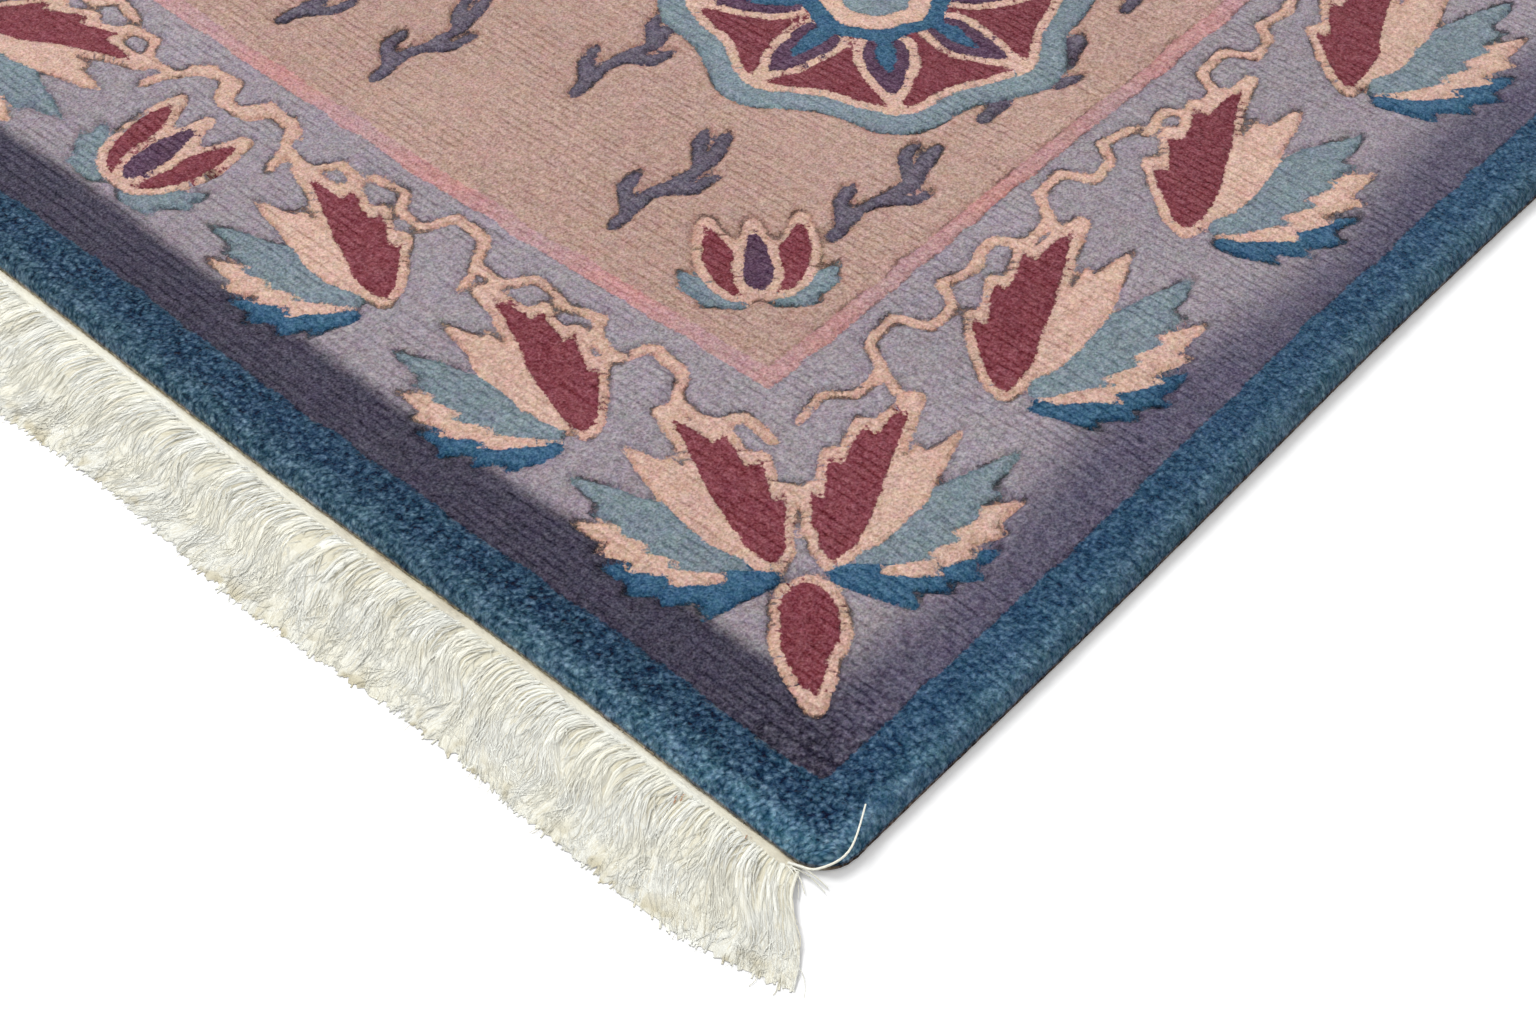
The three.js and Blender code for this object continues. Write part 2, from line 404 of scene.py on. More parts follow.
def linear(rgb):
    """Scene-linear values of an sRGB colour from 0 to 255."""
    c = np.asarray(rgb, float) / 255
    return np.where(c <= 0.04045, c / 12.92, ((c + 0.055) / 1.055) ** 2.4)


def tubes(name, paths, radii, sides, colours):
    """Many closed tubes in one mesh. paths is tubes x steps x 3, and radii is tubes x steps."""
    count, steps, _ = paths.shape
    along = np.gradient(paths, axis=1)
    along /= np.linalg.norm(along, axis=2, keepdims=True)
    across = np.cross(along, (0.04, 0.03, 1.0))
    across /= np.linalg.norm(across, axis=2, keepdims=True)
    over = np.cross(across, along)
    angle = np.pi / 2 + np.arange(sides) * 2 * np.pi / sides
    ring = across[:, :, None] * np.cos(angle)[:, None] + over[:, :, None] * np.sin(angle)[:, None]
    points = paths[:, :, None] + ring * radii[:, :, None, None]
    index = np.arange(count * steps * sides).reshape(count, steps, sides)
    near, far = index[:, :-1], index[:, 1:]
    walls = np.stack([near, np.roll(near, -1, 2), np.roll(far, -1, 2), far], -1).reshape(-1, 4)
    caps = np.concatenate([index[:, 0], index[:, -1, ::-1]])
    sizes = np.concatenate([np.full(len(walls), 4), np.full(len(caps), sides)])
    corners = np.concatenate([walls[:, ::-1].ravel(), caps.ravel()])
    obj = to_mesh(name, points.reshape(-1, 3), corners, sizes)
    owners = np.concatenate([np.repeat(np.arange(count), (steps - 1) * sides), np.tile(np.arange(count), 2)])
    set_colours(obj, "yarn", colours[owners], sizes)
    return obj


def strands(name, paths, widths, profile, colours):
    """Many open strands that face up, in one mesh. profile has shares of the width, aside and up."""
    count, steps, _ = paths.shape
    across = np.cross(np.gradient(paths, axis=1), (0, 0, 1))
    across /= np.linalg.norm(across, axis=2, keepdims=True)
    aside, up = np.array(profile, float).T[:, :, None]
    shift = across[:, :, None] * aside + np.array([0, 0, 1]) * up
    points = paths[:, :, None] + shift * widths[:, :, None, None]
    index = np.arange(count * steps * len(profile)).reshape(count, steps, -1)
    near, far = index[:, :-1], index[:, 1:]
    faces = np.stack([near[..., :-1], near[..., 1:], far[..., 1:], far[..., :-1]], -1).reshape(-1, 4)
    obj = to_mesh(name, points.reshape(-1, 3), faces.ravel(), np.full(len(faces), 4))
    set_colours(obj, "yarn", np.repeat(colours, len(faces) // count, axis=0), 4)
    return obj


def smooth_noise(shape, cells, seed):
    """Soft noise of unit strength over a grid, from a coarse grid of random numbers."""
    coarse = np.random.default_rng(seed).normal(0, 1, (cells[0] + 2, cells[1] + 2))
    v = np.linspace(0, cells[0], shape[0])[:, None]
    u = np.linspace(0, cells[1], shape[1])[None, :]
    j, i = v.astype(int), u.astype(int)
    fv, fu = v - j, u - i
    fv, fu = fv * fv * (3 - 2 * fv), fu * fu * (3 - 2 * fu)
    low = coarse[j, i] * (1 - fu) + coarse[j, i + 1] * fu
    return low * (1 - fv) + (coarse[j + 1, i] * (1 - fu) + coarse[j + 1, i + 1] * fu) * fv


def soft_step(value, low, high):
    """A smooth step from 0, up to low, to 1, from high on."""
    share = np.clip((value - low) / (high - low), 0, 1)
    return share * share * (3 - 2 * share)


# ---------------------------------------------------------------- the rug's outline


def from_edges(x, y):
    """How far a place of the flat rug is from the nearer side, and from the nearer end."""
    return HALF_WIDTH - np.abs(x), HALF_LENGTH - np.abs(y)


def edge_inset(edge, place):
    """How far an edge of the body wanders in, at x for an end and at y for a side."""
    wave = EDGE_WAVES[edge]
    inner = HALF_END if edge in FRINGE_TABLE else HALF_LENGTH - CORNER_RADIUS
    along = place if edge in ("south", "east") else -place
    share = np.clip((along + inner) / (2 * inner), 0, 1)
    swing = 0.5 - 0.5 * np.cos(2 * np.pi * wave["waves"] * share + wave["phase"])
    return wave["depth"] * swing * np.sin(np.pi * share) ** 0.5


def wander(x, y):
    """Moves points of the flat knot grid to the rug's rounded corners and wandering edges."""
    a, b = (np.clip(1 - distance / CORNER_ROUNDING, 0, 1) for distance in from_edges(x, y))
    x = x - np.sign(x) * CORNER_ROUNDING * a * (1 - np.sqrt(1 - b**2 / 2))
    y = y - np.sign(y) * CORNER_ROUNDING * b * (1 - np.sqrt(1 - a**2 / 2))
    near_side = np.clip(np.abs(x) / HALF_WIDTH, 0, 1) ** 5
    near_end = np.clip(np.abs(y) / HALF_LENGTH, 0, 1) ** 8
    new_x = x - np.where(x > 0, edge_inset("east", y), -edge_inset("west", y)) * near_side
    new_y = y - np.where(y > 0, edge_inset("north", x), -edge_inset("south", x)) * near_end
    bow = 3.5 * np.sin(x / 95 + 0.8) * np.sin(y / 240 + 0.4) * (1 - near_end)
    return new_x, new_y + bow


# ---------------------------------------------------------------- pile

# The pile's mesh has points at every half knot, and leaves the middle ones out where the pile is plain.
POINT_X = np.linspace(-HALF_WIDTH, HALF_WIDTH, 2 * KNOTS_ACROSS + 1)
POINT_Y = np.linspace(-HALF_LENGTH, HALF_LENGTH, 2 * ROWS + 1)
CELLS_PER_STEP = CELLS_PER_KNOT // 2
REACH = 4


def gather(values, weights, axis):
    """Weighted sums of the fine cells on both sides of each mesh point, along one axis."""
    pad = [(REACH, REACH) if a == axis else (0, 0) for a in (0, 1)]
    padded = np.pad(values, pad, mode="edge")
    last = CELLS_PER_STEP * (values.shape[axis] // CELLS_PER_STEP)
    return sum(w * padded.take(range(k, k + last + 1, CELLS_PER_STEP), axis) for k, w in enumerate(weights))


def gather_weights(cell):
    """Weights of a soft average, and of its slope."""
    offset = (np.arange(2 * REACH) - REACH + 0.5) * cell
    weights = np.exp(-(offset**2) / (2 * SOFTNESS**2))
    weights /= weights.sum()
    return weights, weights * offset / SOFTNESS**2


# The yarns that meet in one motif, where the shears go in less deep than round the motif.
# The guard line is carved deeper along the sides than along the ends.
MOTIF_YARNS = (TEAL, CRIMSON, LEAF_BLUE, PLUM, PEACH)
CARVED_IN_MOTIF = 0.3
CARVED_AT_BAND = 0.3
CARVED_AT_GUARD = (0.1, 0.6)
# The log odds of two softly averaged yarns grow by about this much for each SOFTNESS away from their line.
ODDS_SLOPE = 1.702


def nearest_line(chart):
    """At each mesh point: its yarn, the nearest other one, and how far and which way their line lies."""
    weights_x, slope_x = gather_weights(KNOT_WIDTH / CELLS_PER_KNOT)
    weights_y, slope_y = gather_weights(ROW_HEIGHT / CELLS_PER_KNOT)
    size = (len(POINT_Y), len(POINT_X))
    # For the two yarns with the most wool round each point: their share, its slopes and their number.
    first, second = np.zeros((4, *size)), np.zeros((4, *size))
    for yarn in np.unique(chart):
        inside = (chart == yarn).astype(np.float32)
        across = gather(inside, weights_x, 1)
        share = gather(across, weights_y, 0)
        here = np.stack([share, gather(gather(inside, slope_x, 1), weights_y, 0), gather(across, slope_y, 0)])
        here = np.concatenate([here, np.full((1, *size), yarn)])
        is_first = share > first[0]
        is_second = ~is_first & (share > second[0])
        second = np.where(is_first, first, np.where(is_second, here, second))
        first = np.where(is_first, here, first)
    odds = first[0] / np.maximum(second[0], 1e-4)
    distance = np.minimum(SOFTNESS * np.log(odds) / ODDS_SLOPE, 4.0)
    away = np.moveaxis(first[1:3] - second[1:3], 0, -1)
    away = away / (np.linalg.norm(away, axis=-1, keepdims=True) + 1e-6)
    own, other = first[3].astype(int), second[3].astype(int)
    carving = np.where(np.isin(own, MOTIF_YARNS) & np.isin(other, MOTIF_YARNS), CARVED_IN_MOTIF, 1.0)
    carving = np.where((own == BLUE) | (other == BLUE), CARVED_AT_BAND, carving)
    by_side = soft_step(toward_side(*np.meshgrid(POINT_X, POINT_Y)), -0.3, 0.5)
    at_guard = CARVED_AT_GUARD[0] * (1 - by_side) + CARVED_AT_GUARD[1] * by_side
    carving = np.where((own == GUARD) | (other == GUARD), at_guard, carving)
    return {"own": own, "other": other, "distance": distance, "away": away, "carving": carving}


def snapped(distance, away):
    """Which mesh points lie so near to a line that they are moved on to it."""
    along_x = distance <= 0.5 * KNOT_WIDTH / 2 * np.abs(away[..., 0])
    along_y = distance <= 0.5 * ROW_HEIGHT / 2 * np.abs(away[..., 1])
    return (along_x | along_y) & (distance < 1.1)


def from_corner(x, y):
    """How far a place of the flat rug is from the nearest corner."""
    return np.hypot(*from_edges(x, y))


def toward_side(x, y):
    """From -1 by an end of the rug to 1 by a side, where the light catches the pile."""
    side, end = from_edges(x, y)
    return np.tanh((end - side) / DIAGONAL_FADE)


def combed(x, y, z=0.0):
    """Where the nap's texture lies on the flat rug. It is drawn out over the rim, most at the corners."""
    pull = 0.05 + 0.3 * np.exp(-from_corner(x, y) / 25)
    pull_x = pull * np.maximum(COMBED_RIM - HALF_WIDTH + np.abs(x), 0)
    pull_y = pull * np.maximum(COMBED_RIM - HALF_LENGTH + np.abs(y), 0)
    return np.stack([x - np.sign(x) * pull_x, y - np.sign(y) * pull_y, z + 0 * x], -1)


def shape_pile(chart):
    """The mesh points of the pile with all that is known of each."""
    line = nearest_line(chart)
    distance, away, carving = line["distance"], line["away"], line["carving"]
    on_line = snapped(distance, away)
    x, y = np.meshgrid(POINT_X, POINT_Y)
    shift = np.where(on_line, distance, 0.0)
    x, y = x - shift * away[..., 0], y - shift * away[..., 1]
    edge = distance - shift
    from_rim = np.minimum(*from_edges(x, y))
    # The pile is ruffled in the band, less so along the sides, and by handling near the corners.
    worn = 1 - 0.4 * soft_step(toward_side(x, y), 0.0, 0.9) + 0.45 * np.exp(-from_corner(x, y) / 35)
    ruffled = 0.85 * soft_step(-from_corner(x, y), -95, -35)
    clump = np.maximum(worn * soft_step(-from_rim, -BAND_END - 1, -BAND_END + 3), ruffled)
    inside = 0.25 + 0.75 * soft_step(from_rim, 0, 5)
    depth = CARVE_DEPTH * carving * (1 + 0.45 * smooth_noise(x.shape, (90, 50), 7))
    z = PILE_TOP - 0.35 + 0.3 * smooth_noise(x.shape, (18, 11), 6) + rng.normal(0, 0.06, x.shape)
    z -= np.clip(depth, 0, 2 * CARVE_DEPTH) * np.where(on_line, 1.0, 0.35 * np.exp(-((edge / 1.2) ** 2)))
    z += inside * clump * np.clip(rng.normal(0, 0.26, x.shape), -0.6, 0.45)
    rounding = np.clip(1 - from_rim / EDGE_ROUNDING, 0, 1)
    z -= EDGE_DROP * (1 - np.sqrt(1 - rounding**2))
    loose = (0.1 + 0.1 * clump) * inside * ~on_line
    flat = np.stack([x, y], -1)
    moved_x, moved_y = wander(x + loose * rng.normal(0, 1, x.shape), y + loose * rng.normal(0, 1, x.shape))
    return {
        "own": line["own"],
        "other": line["other"],
        "flat": flat,
        "place": np.stack([moved_x, moved_y, z], -1),
        "on_line": on_line,
        "edge": edge,
        "carved": carving,
        "clump": clump,
        "fine": (distance < 2.5) | (from_rim < BAND_END + 0.1),
    }


def knots_with(points):
    """The knots that touch any of the marked mesh points."""
    knots = np.zeros((ROWS, KNOTS_ACROSS), bool)
    for j in range(3):
        for i in range(3):
            knots |= points[j : j + 2 * ROWS - 1 : 2, i : i + 2 * KNOTS_ACROSS - 1 : 2]
    return knots


def fine_faces(on_line, knots):
    """Two triangles in each quarter of the marked knots, split along the pattern's lines."""
    j, i = np.nonzero(np.repeat(np.repeat(knots, 2, 0), 2, 1))
    width = len(POINT_X)
    a = j * width + i
    b, c, d = a + 1, a + 1 + width, a + width
    falling = on_line[b] & on_line[d]
    rising = np.where(on_line[a] & on_line[c], True, np.where(falling, False, (i + j) % 2 == 0))[:, None]
    first = np.where(rising, np.stack([a, b, c], 1), np.stack([a, b, d], 1))
    second = np.where(rising, np.stack([a, c, d], 1), np.stack([b, c, d], 1))
    return np.concatenate([first, second])


def plain_faces(used, knots):
    """One face on each marked knot, with the points of finer neighbours on its edges."""
    j, i = np.nonzero(knots)
    ring = [(0, 0), (0, 1), (0, 2), (1, 2), (2, 2), (2, 1), (2, 0), (1, 0)]
    corners = np.stack([(2 * j + dj) * len(POINT_X) + 2 * i + di for dj, di in ring], 1)
    keep = used[corners]
    keep[:, ::2] = True
    return corners[keep], keep.sum(1)


def haze(x, y):
    """How far the border's ground has passed from its dark edge to lilac."""
    side, end = from_edges(x, y)
    drift = 5 * np.sin(y / 37) + 3 * np.sin(x / 23 + y / 91)
    across_side = soft_step(side - BAND_SIDE + drift, 10, 46)
    across_end = soft_step(end - BAND_END + 0.3 * drift, 23, 32)
    return np.minimum(across_side, across_end)


def blended(one, two, share):
    """Colours from the first, where their share is 0, to the second, where it is 1."""
    return one * (1 - share)[:, None] + two * share[:, None]


def yarn_at(chart, x, y):
    """The yarn of the cell at each place of the flat pattern."""
    i = np.clip((x + HALF_WIDTH) / KNOT_WIDTH * CELLS_PER_KNOT, 0, chart.shape[1] - 1).astype(int)
    j = np.clip((y + HALF_LENGTH) / ROW_HEIGHT * CELLS_PER_KNOT, 0, chart.shape[0] - 1).astype(int)
    return chart[j, i]


def yarn_colours(yarn, x, y):
    """The colour of each yarn at each place of the flat pattern, with the uneven dye of its rows and a
    painted highlight along the sides and at the band's rim.
    """
    palette = linear(list(YARNS.values()))
    side = toward_side(x, y)
    # Painted highlight: the border's dark edge is lighter along the sides, where the light catches the pile.
    dark = blended(palette[SHADE], linear(LIT_SIDE_SHADE), soft_step(side, -0.2, 0.9))
    ground = blended(dark, palette[LILAC], haze(x, y))
    colours = np.where((yarn == LILAC)[:, None], ground, palette[yarn])
    from_rim = np.minimum(*from_edges(x, y))
    # Painted highlight: the band is lighter along the sides and at its rounded rim. It is also lighter near
    # the corners, where the pile is worn.
    wear_and_light = 0.86 + 0.09 * side + (0.7 - 0.3 * side) * np.exp(-from_corner(x, y) / 90)
    worn = linear(WORN_AND_LIT_BLUE) * wear_and_light[:, None]
    band = blended(palette[BLUE] * (1 + 0.15 * side)[:, None], worn, soft_step(-from_rim, -15 + side, -4))
    colours = np.where((yarn == BLUE)[:, None], band, colours)
    blush = 0.45 + 0.55 * np.sin(x / 17 + 1.5 * np.sin(y / 29)) * np.sin(y / 21 + 1)
    guard = blended(palette[GUARD], linear(DEEP_PINK), np.clip(blush, 0, 1))
    colours = np.where((yarn == GUARD)[:, None], guard, colours)
    row = y / ROW_HEIGHT
    dye = 0.03 * np.sin(row / 17 + yarn * 1.7) + 0.02 * np.sin(row / 5.3 + yarn) * np.sin(x / 70)
    return colours * (1 + dye)[:, None]


def set_yarns(obj, chart, points, corners, sizes):
    """Each face's own yarn, and the yarn across the nearest line, whose fibres mix with it at the line."""
    starts = np.cumsum(sizes) - sizes
    edge = points["edge"][corners]
    face = np.repeat(np.arange(len(sizes)), sizes)
    by_edge = corners[np.lexsort((edge, face))]
    # A face has the yarn of its corner farthest from a line, or the chart's if all its corners are on one.
    farthest = by_edge[starts + sizes - 1]
    middle = np.add.reduceat(points["flat"][corners], starts) / sizes[:, None]
    charted = yarn_at(chart, *middle.T)
    own = np.where(points["on_line"][farthest], charted, points["own"][farthest])
    # The corner nearest to a line knows the two yarns that meet there.
    nearest = by_edge[starts]
    one, two = points["own"][nearest], points["other"][nearest]
    other = np.where(own == one, two, np.where(own == two, one, own))
    place = points["flat"][corners].T
    set_colours(obj, "yarn", yarn_colours(own[face], *place))
    set_colours(obj, "yarn_beside", yarn_colours(other[face], *place))
    side = obj.data.attributes.new("side", "FLOAT", "FACE")
    side.data.foreach_set("value", np.sign(own - other).astype(np.float32))


def pile_piece(name, chart, points, fine, plain):
    """The pile of some fine and some plain knots as one mesh."""
    triangles = fine_faces(points["on_line"], fine)
    corners, sizes = plain_faces(points["used"], plain)
    corners = np.concatenate([triangles.ravel(), corners])
    sizes = np.concatenate([np.full(len(triangles), 3), sizes])
    own, index = np.unique(corners, return_inverse=True)
    obj = to_mesh(name, points["place"][own], index, sizes)
    set_yarns(obj, chart, points, corners, sizes)
    flat = points["flat"][own].T
    set_places(obj, "combed", combed(*flat, NAP_DROP * (PILE_TOP - points["place"][own, 2])))
    set_values(
        obj,
        column=(flat[0] + HALF_WIDTH) / KNOT_WIDTH,
        row=(flat[1] + HALF_LENGTH) / ROW_HEIGHT,
        **{key: points[key][own] for key in ("edge", "carved", "clump")},
    )
    return obj


def make_pile(chart, shape):
    """The pile as meshes that meet along the pattern's lines."""
    fine = knots_with(shape["fine"])
    used = np.zeros(shape["fine"].shape, bool)
    j, i = np.nonzero(fine)
    for dj in range(3):
        for di in range(3):
            used[2 * j + dj, 2 * i + di] = True
    column = np.minimum(np.arange(KNOTS_ACROSS), KNOTS_ACROSS - 1 - np.arange(KNOTS_ACROSS))[None, :]
    row = np.minimum(np.arange(ROWS), ROWS - 1 - np.arange(ROWS))[:, None]
    band = (column < BAND_KNOTS) | (row < BAND_ROWS)
    field = (column * KNOT_WIDTH > BORDER_SIDE) & (row * ROW_HEIGHT > BORDER_END)
    south = np.broadcast_to((np.arange(ROWS) < ROWS // 2)[:, None], band.shape)
    parts = {
        "pile_band": band,
        "pile_border_south": ~band & ~field & south,
        "pile_border_north": ~band & ~field & ~south,
        "pile_field_south": field & south,
        "pile_field_north": field & ~south,
    }
    points = {key: values.reshape(-1, *values.shape[2:]) for key, values in shape.items()}
    points["used"] = used.ravel()
    return [pile_piece(name, chart, points, knots & fine, knots & ~fine) for name, knots in parts.items()]


# ---------------------------------------------------------------- the pile's side


def rim_of(place):
    """The outermost mesh points, anticlockwise from the south-west corner."""
    return np.concatenate([place[0, :-1], place[:-1, -1], place[-1, :0:-1], place[:0:-1, 0]])


def outward(rim):
    """The level direction out of the rug at each point of its rim."""
    along = np.roll(rim, -5, 0) - np.roll(rim, 5, 0)
    normal = np.stack([along[:, 1], -along[:, 0], np.zeros(len(rim))], 1)
    return normal / np.linalg.norm(normal, axis=1, keepdims=True)


# The dark brown painted at the foot of the sides: painted shade under the overhanging pile.
FOOT_SHADE_BROWN = (84, 68, 56)
SKIRT = [(0.0, 0.0), (-0.3, 1.0), (0.3, 2.0), (-0.2, 2.8), (0.2, 3.9)]
SKIRT_WOOL = [0.0, 0.0, 0.6, 0.8]
NO_LINE_NEAR = 9.0


def set_plain_wool(obj, places, clump, column=0.5, row=0.5):
    """What the wool's material asks of a piece that has no carved line near."""
    set_places(obj, "combed", places)
    set_values(obj, edge=NO_LINE_NEAR, carved=0.0, clump=clump, column=column, row=row)


def make_skirt(rim, flat_rim):
    """The pile's side and the selvedge below it. SKIRT has the inset and drop of each step."""
    count = len(rim)
    way = outward(rim)
    levels, places = [], []
    for inset, drop in SKIRT:
        level = rim - way * (inset + rng.normal(0, 0.12, (count, 1)) * (0 < drop < 2.5))
        level[:, 2] = np.maximum(level[:, 2] - drop, 0.5)
        levels.append(np.concatenate([level, level[:1]]))
        place = combed(*flat_rim.T, NAP_DROP * (PILE_TOP - rim[:, 2]) + drop)
        places.append(np.concatenate([place, place[:1]]))
    obj = grid_mesh("pile_skirt", np.array(levels)[::-1])
    # The foot is painted dark brown along the sides only, a painted shade under the overhanging pile.
    by_side = soft_step(np.abs(way[:, 0]), 0.3, 0.8)
    foot = blended(linear(EDGE_COTTON), linear(FOOT_SHADE_BROWN), by_side)
    wool = np.repeat(SKIRT_WOOL, count)
    colours = blended(np.tile(foot, (4, 1)), linear(YARNS["band_blue"]), wool)
    colours = colours * rng.normal(1.0, 0.07, (4 * count, 1))
    set_colours(obj, "yarn", colours, 4)
    set_plain_wool(obj, np.array(places)[::-1], 1.0)
    return obj


FUZZ_COUNT = 7200


def make_edge_fuzz(rim):
    """Ends of fibre that stand out of the pile's side and its rounded rim."""
    spot = rng.uniform(0, len(rim), FUZZ_COUNT)
    near = spot.astype(int) % len(rim)
    share = (spot - np.floor(spot))[:, None]
    way = outward(rim)[near]
    along = np.stack([-way[:, 1], way[:, 0], np.zeros(FUZZ_COUNT)], 1)
    slope = rng.uniform(-0.45, 1.0, (FUZZ_COUNT, 1))
    root = rim[near] * (1 - share) + rim[(near + 1) % len(rim)] * share
    root = root - way * (1.3 + 3.0 * np.clip(slope, 0, 1) ** 2)
    root[:, 2] += 3.2 * slope[:, 0] - 0.6 * np.abs(slope[:, 0])
    lean = way * (1 - 0.7 * np.clip(slope, 0, 1)) + along * rng.normal(0, 0.5, (FUZZ_COUNT, 1))
    lean[:, 2] = 0.75 * slope[:, 0] + rng.normal(0, 0.2, FUZZ_COUNT)
    reach = rng.uniform(0.9, 1.9, (FUZZ_COUNT, 1))
    paths = np.stack([root, root + lean * reach], 1)
    paths[..., 2] = np.clip(paths[..., 2], 0.5, PILE_TOP)
    radii = rng.uniform(0.16, 0.32, (FUZZ_COUNT, 1)) * np.array([[1.0, 0.4]])
    colours = blended(linear(YARNS["band_blue"]), linear(WORN_AND_LIT_BLUE), rng.uniform(0, 1, FUZZ_COUNT))
    obj = tubes("edge_fuzz", paths, radii, 3, np.clip(colours, 0, 1))
    set_plain_wool(obj, np.repeat(root, len(obj.data.vertices) // FUZZ_COUNT, axis=0), 0.8)
    return obj


def make_ground(chart):
    """The woven ground, seen from below, with the backs of the knots."""
    x = np.linspace(-HALF_WIDTH + 1.5, HALF_WIDTH - 1.5, KNOTS_ACROSS // 2 + 1)
    y = np.linspace(-HALF_LENGTH + 1.5, HALF_LENGTH - 1.5, ROWS // 2 + 1)
    x, y = np.meshgrid(x, y)
    middle_x, middle_y = (x[1:, 1:] + x[:-1, :-1]) / 2, (y[1:, 1:] + y[:-1, :-1]) / 2
    z = 0.45 + rng.uniform(-0.15, 0.15, x.shape)
    column, row = (x + HALF_WIDTH) / KNOT_WIDTH, (y + HALF_LENGTH) / ROW_HEIGHT
    place = combed(x, y)
    x, y = wander(x, y)
    obj = grid_mesh("ground_weave", np.stack([x, y, z], -1), flip=True)
    yarn = yarn_at(chart, middle_x.ravel(), middle_y.ravel())
    colours = yarn_colours(yarn, middle_x.ravel(), middle_y.ravel())
    set_colours(obj, "yarn", colours, 4)
    set_plain_wool(obj, place, 0.0, column.ravel(), row.ravel())
    return obj


# ---------------------------------------------------------------- cotton ends

COTTON = (239, 239, 230)
# A beige for a few of the yarns, and for the painted shade on the bed near the root.
SHADE_AND_BEIGE_COTTON = (224, 218, 196)
WARM_COTTON = (240, 236, 216)
# Dull beige for the patches at the tips, and for the painted shade in the lines between strands.
DULL_COTTON = (200, 191, 162)
YARN_WIDTH = 0.66
YARN_PROFILE = [(-1.0, -0.7), (-0.6, 0.1), (0.0, 0.35), (0.6, 0.1), (1.0, -0.7)]
YARNS_PER_END = 680
FIBRE_PROFILE = [(-1.0, 0.0), (1.0, 0.0)]
FIBRES_PER_END = 8000
BUNCHES = 29
YARN_STEPS = 14
FIBRE_STEPS = 5
FIBRE_LENGTHS = (6, 13)
STRIP_ROWS = 16
STRIP_WEFTS = 4
# How far the strip lies under the pile, and the fringe's roots in the strip.
# PAST_TIPS is the farthest a fibre goes beyond the fringe's reach.
STRIP_TUCK = 1.4
ROOT_TUCK = 2.8
PAST_TIPS = 2.8


def set_cotton(obj, frayed=0.0, matted=0.0, strand=0.0, out=0.0):
    """What the cotton's material asks: how near the tips and how matted it is, and where its strands lie."""
    set_values(obj, frayed=frayed, matted=matted, strand=strand, out=out)


def beyond_end(edge, x, out):
    """The y of a place that far out from an end of the body."""
    return FRINGE_TABLE[edge]["end"] * (HALF_LENGTH - edge_inset(edge, x) + out)


def make_strip(edge):
    """The flat-woven strip of one end, with its thick wefts side by side."""
    end = FRINGE_TABLE[edge]["end"]
    share, x = np.meshgrid(np.linspace(0, 1, STRIP_ROWS + 1), np.linspace(-1, 1, 3 * KNOTS_ACROSS))
    share, x = share.T, x.T * HALF_END
    arch = np.sin(np.pi * share) ** 0.4 * np.clip((HALF_END - np.abs(x)) / 3, 0, 1) ** 0.5
    weft = 0.25 * np.abs(np.sin(np.pi * STRIP_WEFTS * share))
    warp = 0.16 * np.where(np.arange(x.shape[1]) % 2 == 0, 1, -1)[None, :]
    z = 0.45 + (STRIP_THICKNESS - 0.6 + weft + warp) * arch + 0.1 * smooth_noise(x.shape, (2, 70), 31)
    z = np.maximum(z, 0.2)
    waver = 0.35 * smooth_noise(x.shape, (1, 50), 32)
    out = TOUCH_GAP - STRIP_TUCK + share * (STRIP_WIDTH + 0.8) + waver
    # The innermost row lies well under the pile.
    out[0] -= 3.5
    z[0] = 0.6
    obj = grid_mesh(f"flat_weave_{edge}", np.stack([x, beyond_end(edge, x, out), z], -1), flip=end < 0)
    # The strip is beige by the pile and cream farther out.
    cream_reach = np.clip(0.75 + 0.35 * smooth_noise((1, x.shape[1] - 1), (1, 13), 33), 0.3, 1.1)
    cream = np.clip(np.linspace(0.1, 1.35, STRIP_ROWS)[:, None] * cream_reach, 0, 1)[..., None]
    colours = linear(EDGE_COTTON) * (1 - cream) + linear(COTTON) * cream
    colours = colours * rng.normal(0.97, 0.06, (STRIP_ROWS, x.shape[1] - 1, 1))
    set_colours(obj, "yarn", colours.reshape(-1, 3), 4)
    set_cotton(obj, matted=0.5, strand=(STRIP_WEFTS * share * STRIP_WIDTH).ravel(), out=x.ravel())
    return obj


def tip_shift(row, share):
    """How far sideways the tips lie. They lean in long waves, and fan out at the corners."""
    side = 2 * share - 1
    fade = 1 - np.abs(side) ** FLARE_POWER
    wave = row["lean"] * np.sin(2 * np.pi * row["lean_waves"] * share + row["lean_phase"])
    return wave * fade + CORNER_FLARE * np.sign(side) * np.abs(side) ** FLARE_POWER


def fringe_reach(row, share):
    """How far out of the strip the fringe reaches. It is ragged, and shorter at the very corners."""
    swing = 0.5 - 0.5 * np.cos(2 * np.pi * row["ragged_waves"] * share)
    uneven = 0.5 + 0.5 * np.sin(41 * share + row["lean_phase"])
    short = 11 * np.abs(2 * share - 1) ** 24
    return FRINGE_REACH - row["ragged"] * (0.7 * swing + 0.3 * uneven) - STRIP_WIDTH - short


def at_share(cells, seed, share):
    """Soft noise at shares of a fringe's length, with that many cells on it."""
    noise = smooth_noise((1600, 1), (cells, 1), seed)[:, 0]
    return np.interp(share, np.linspace(0, 1, len(noise)), noise)


def seed_of(edge):
    """The first of the seeds for one end's noise."""
    return 40 if edge == "south" else 50


def within_bunch(edge, share):
    """How far across its bunch a warp end is, from 0 to 1."""
    turn = share * BUNCHES + 0.8 * at_share(26, seed_of(edge), share)
    return turn - np.floor(turn)


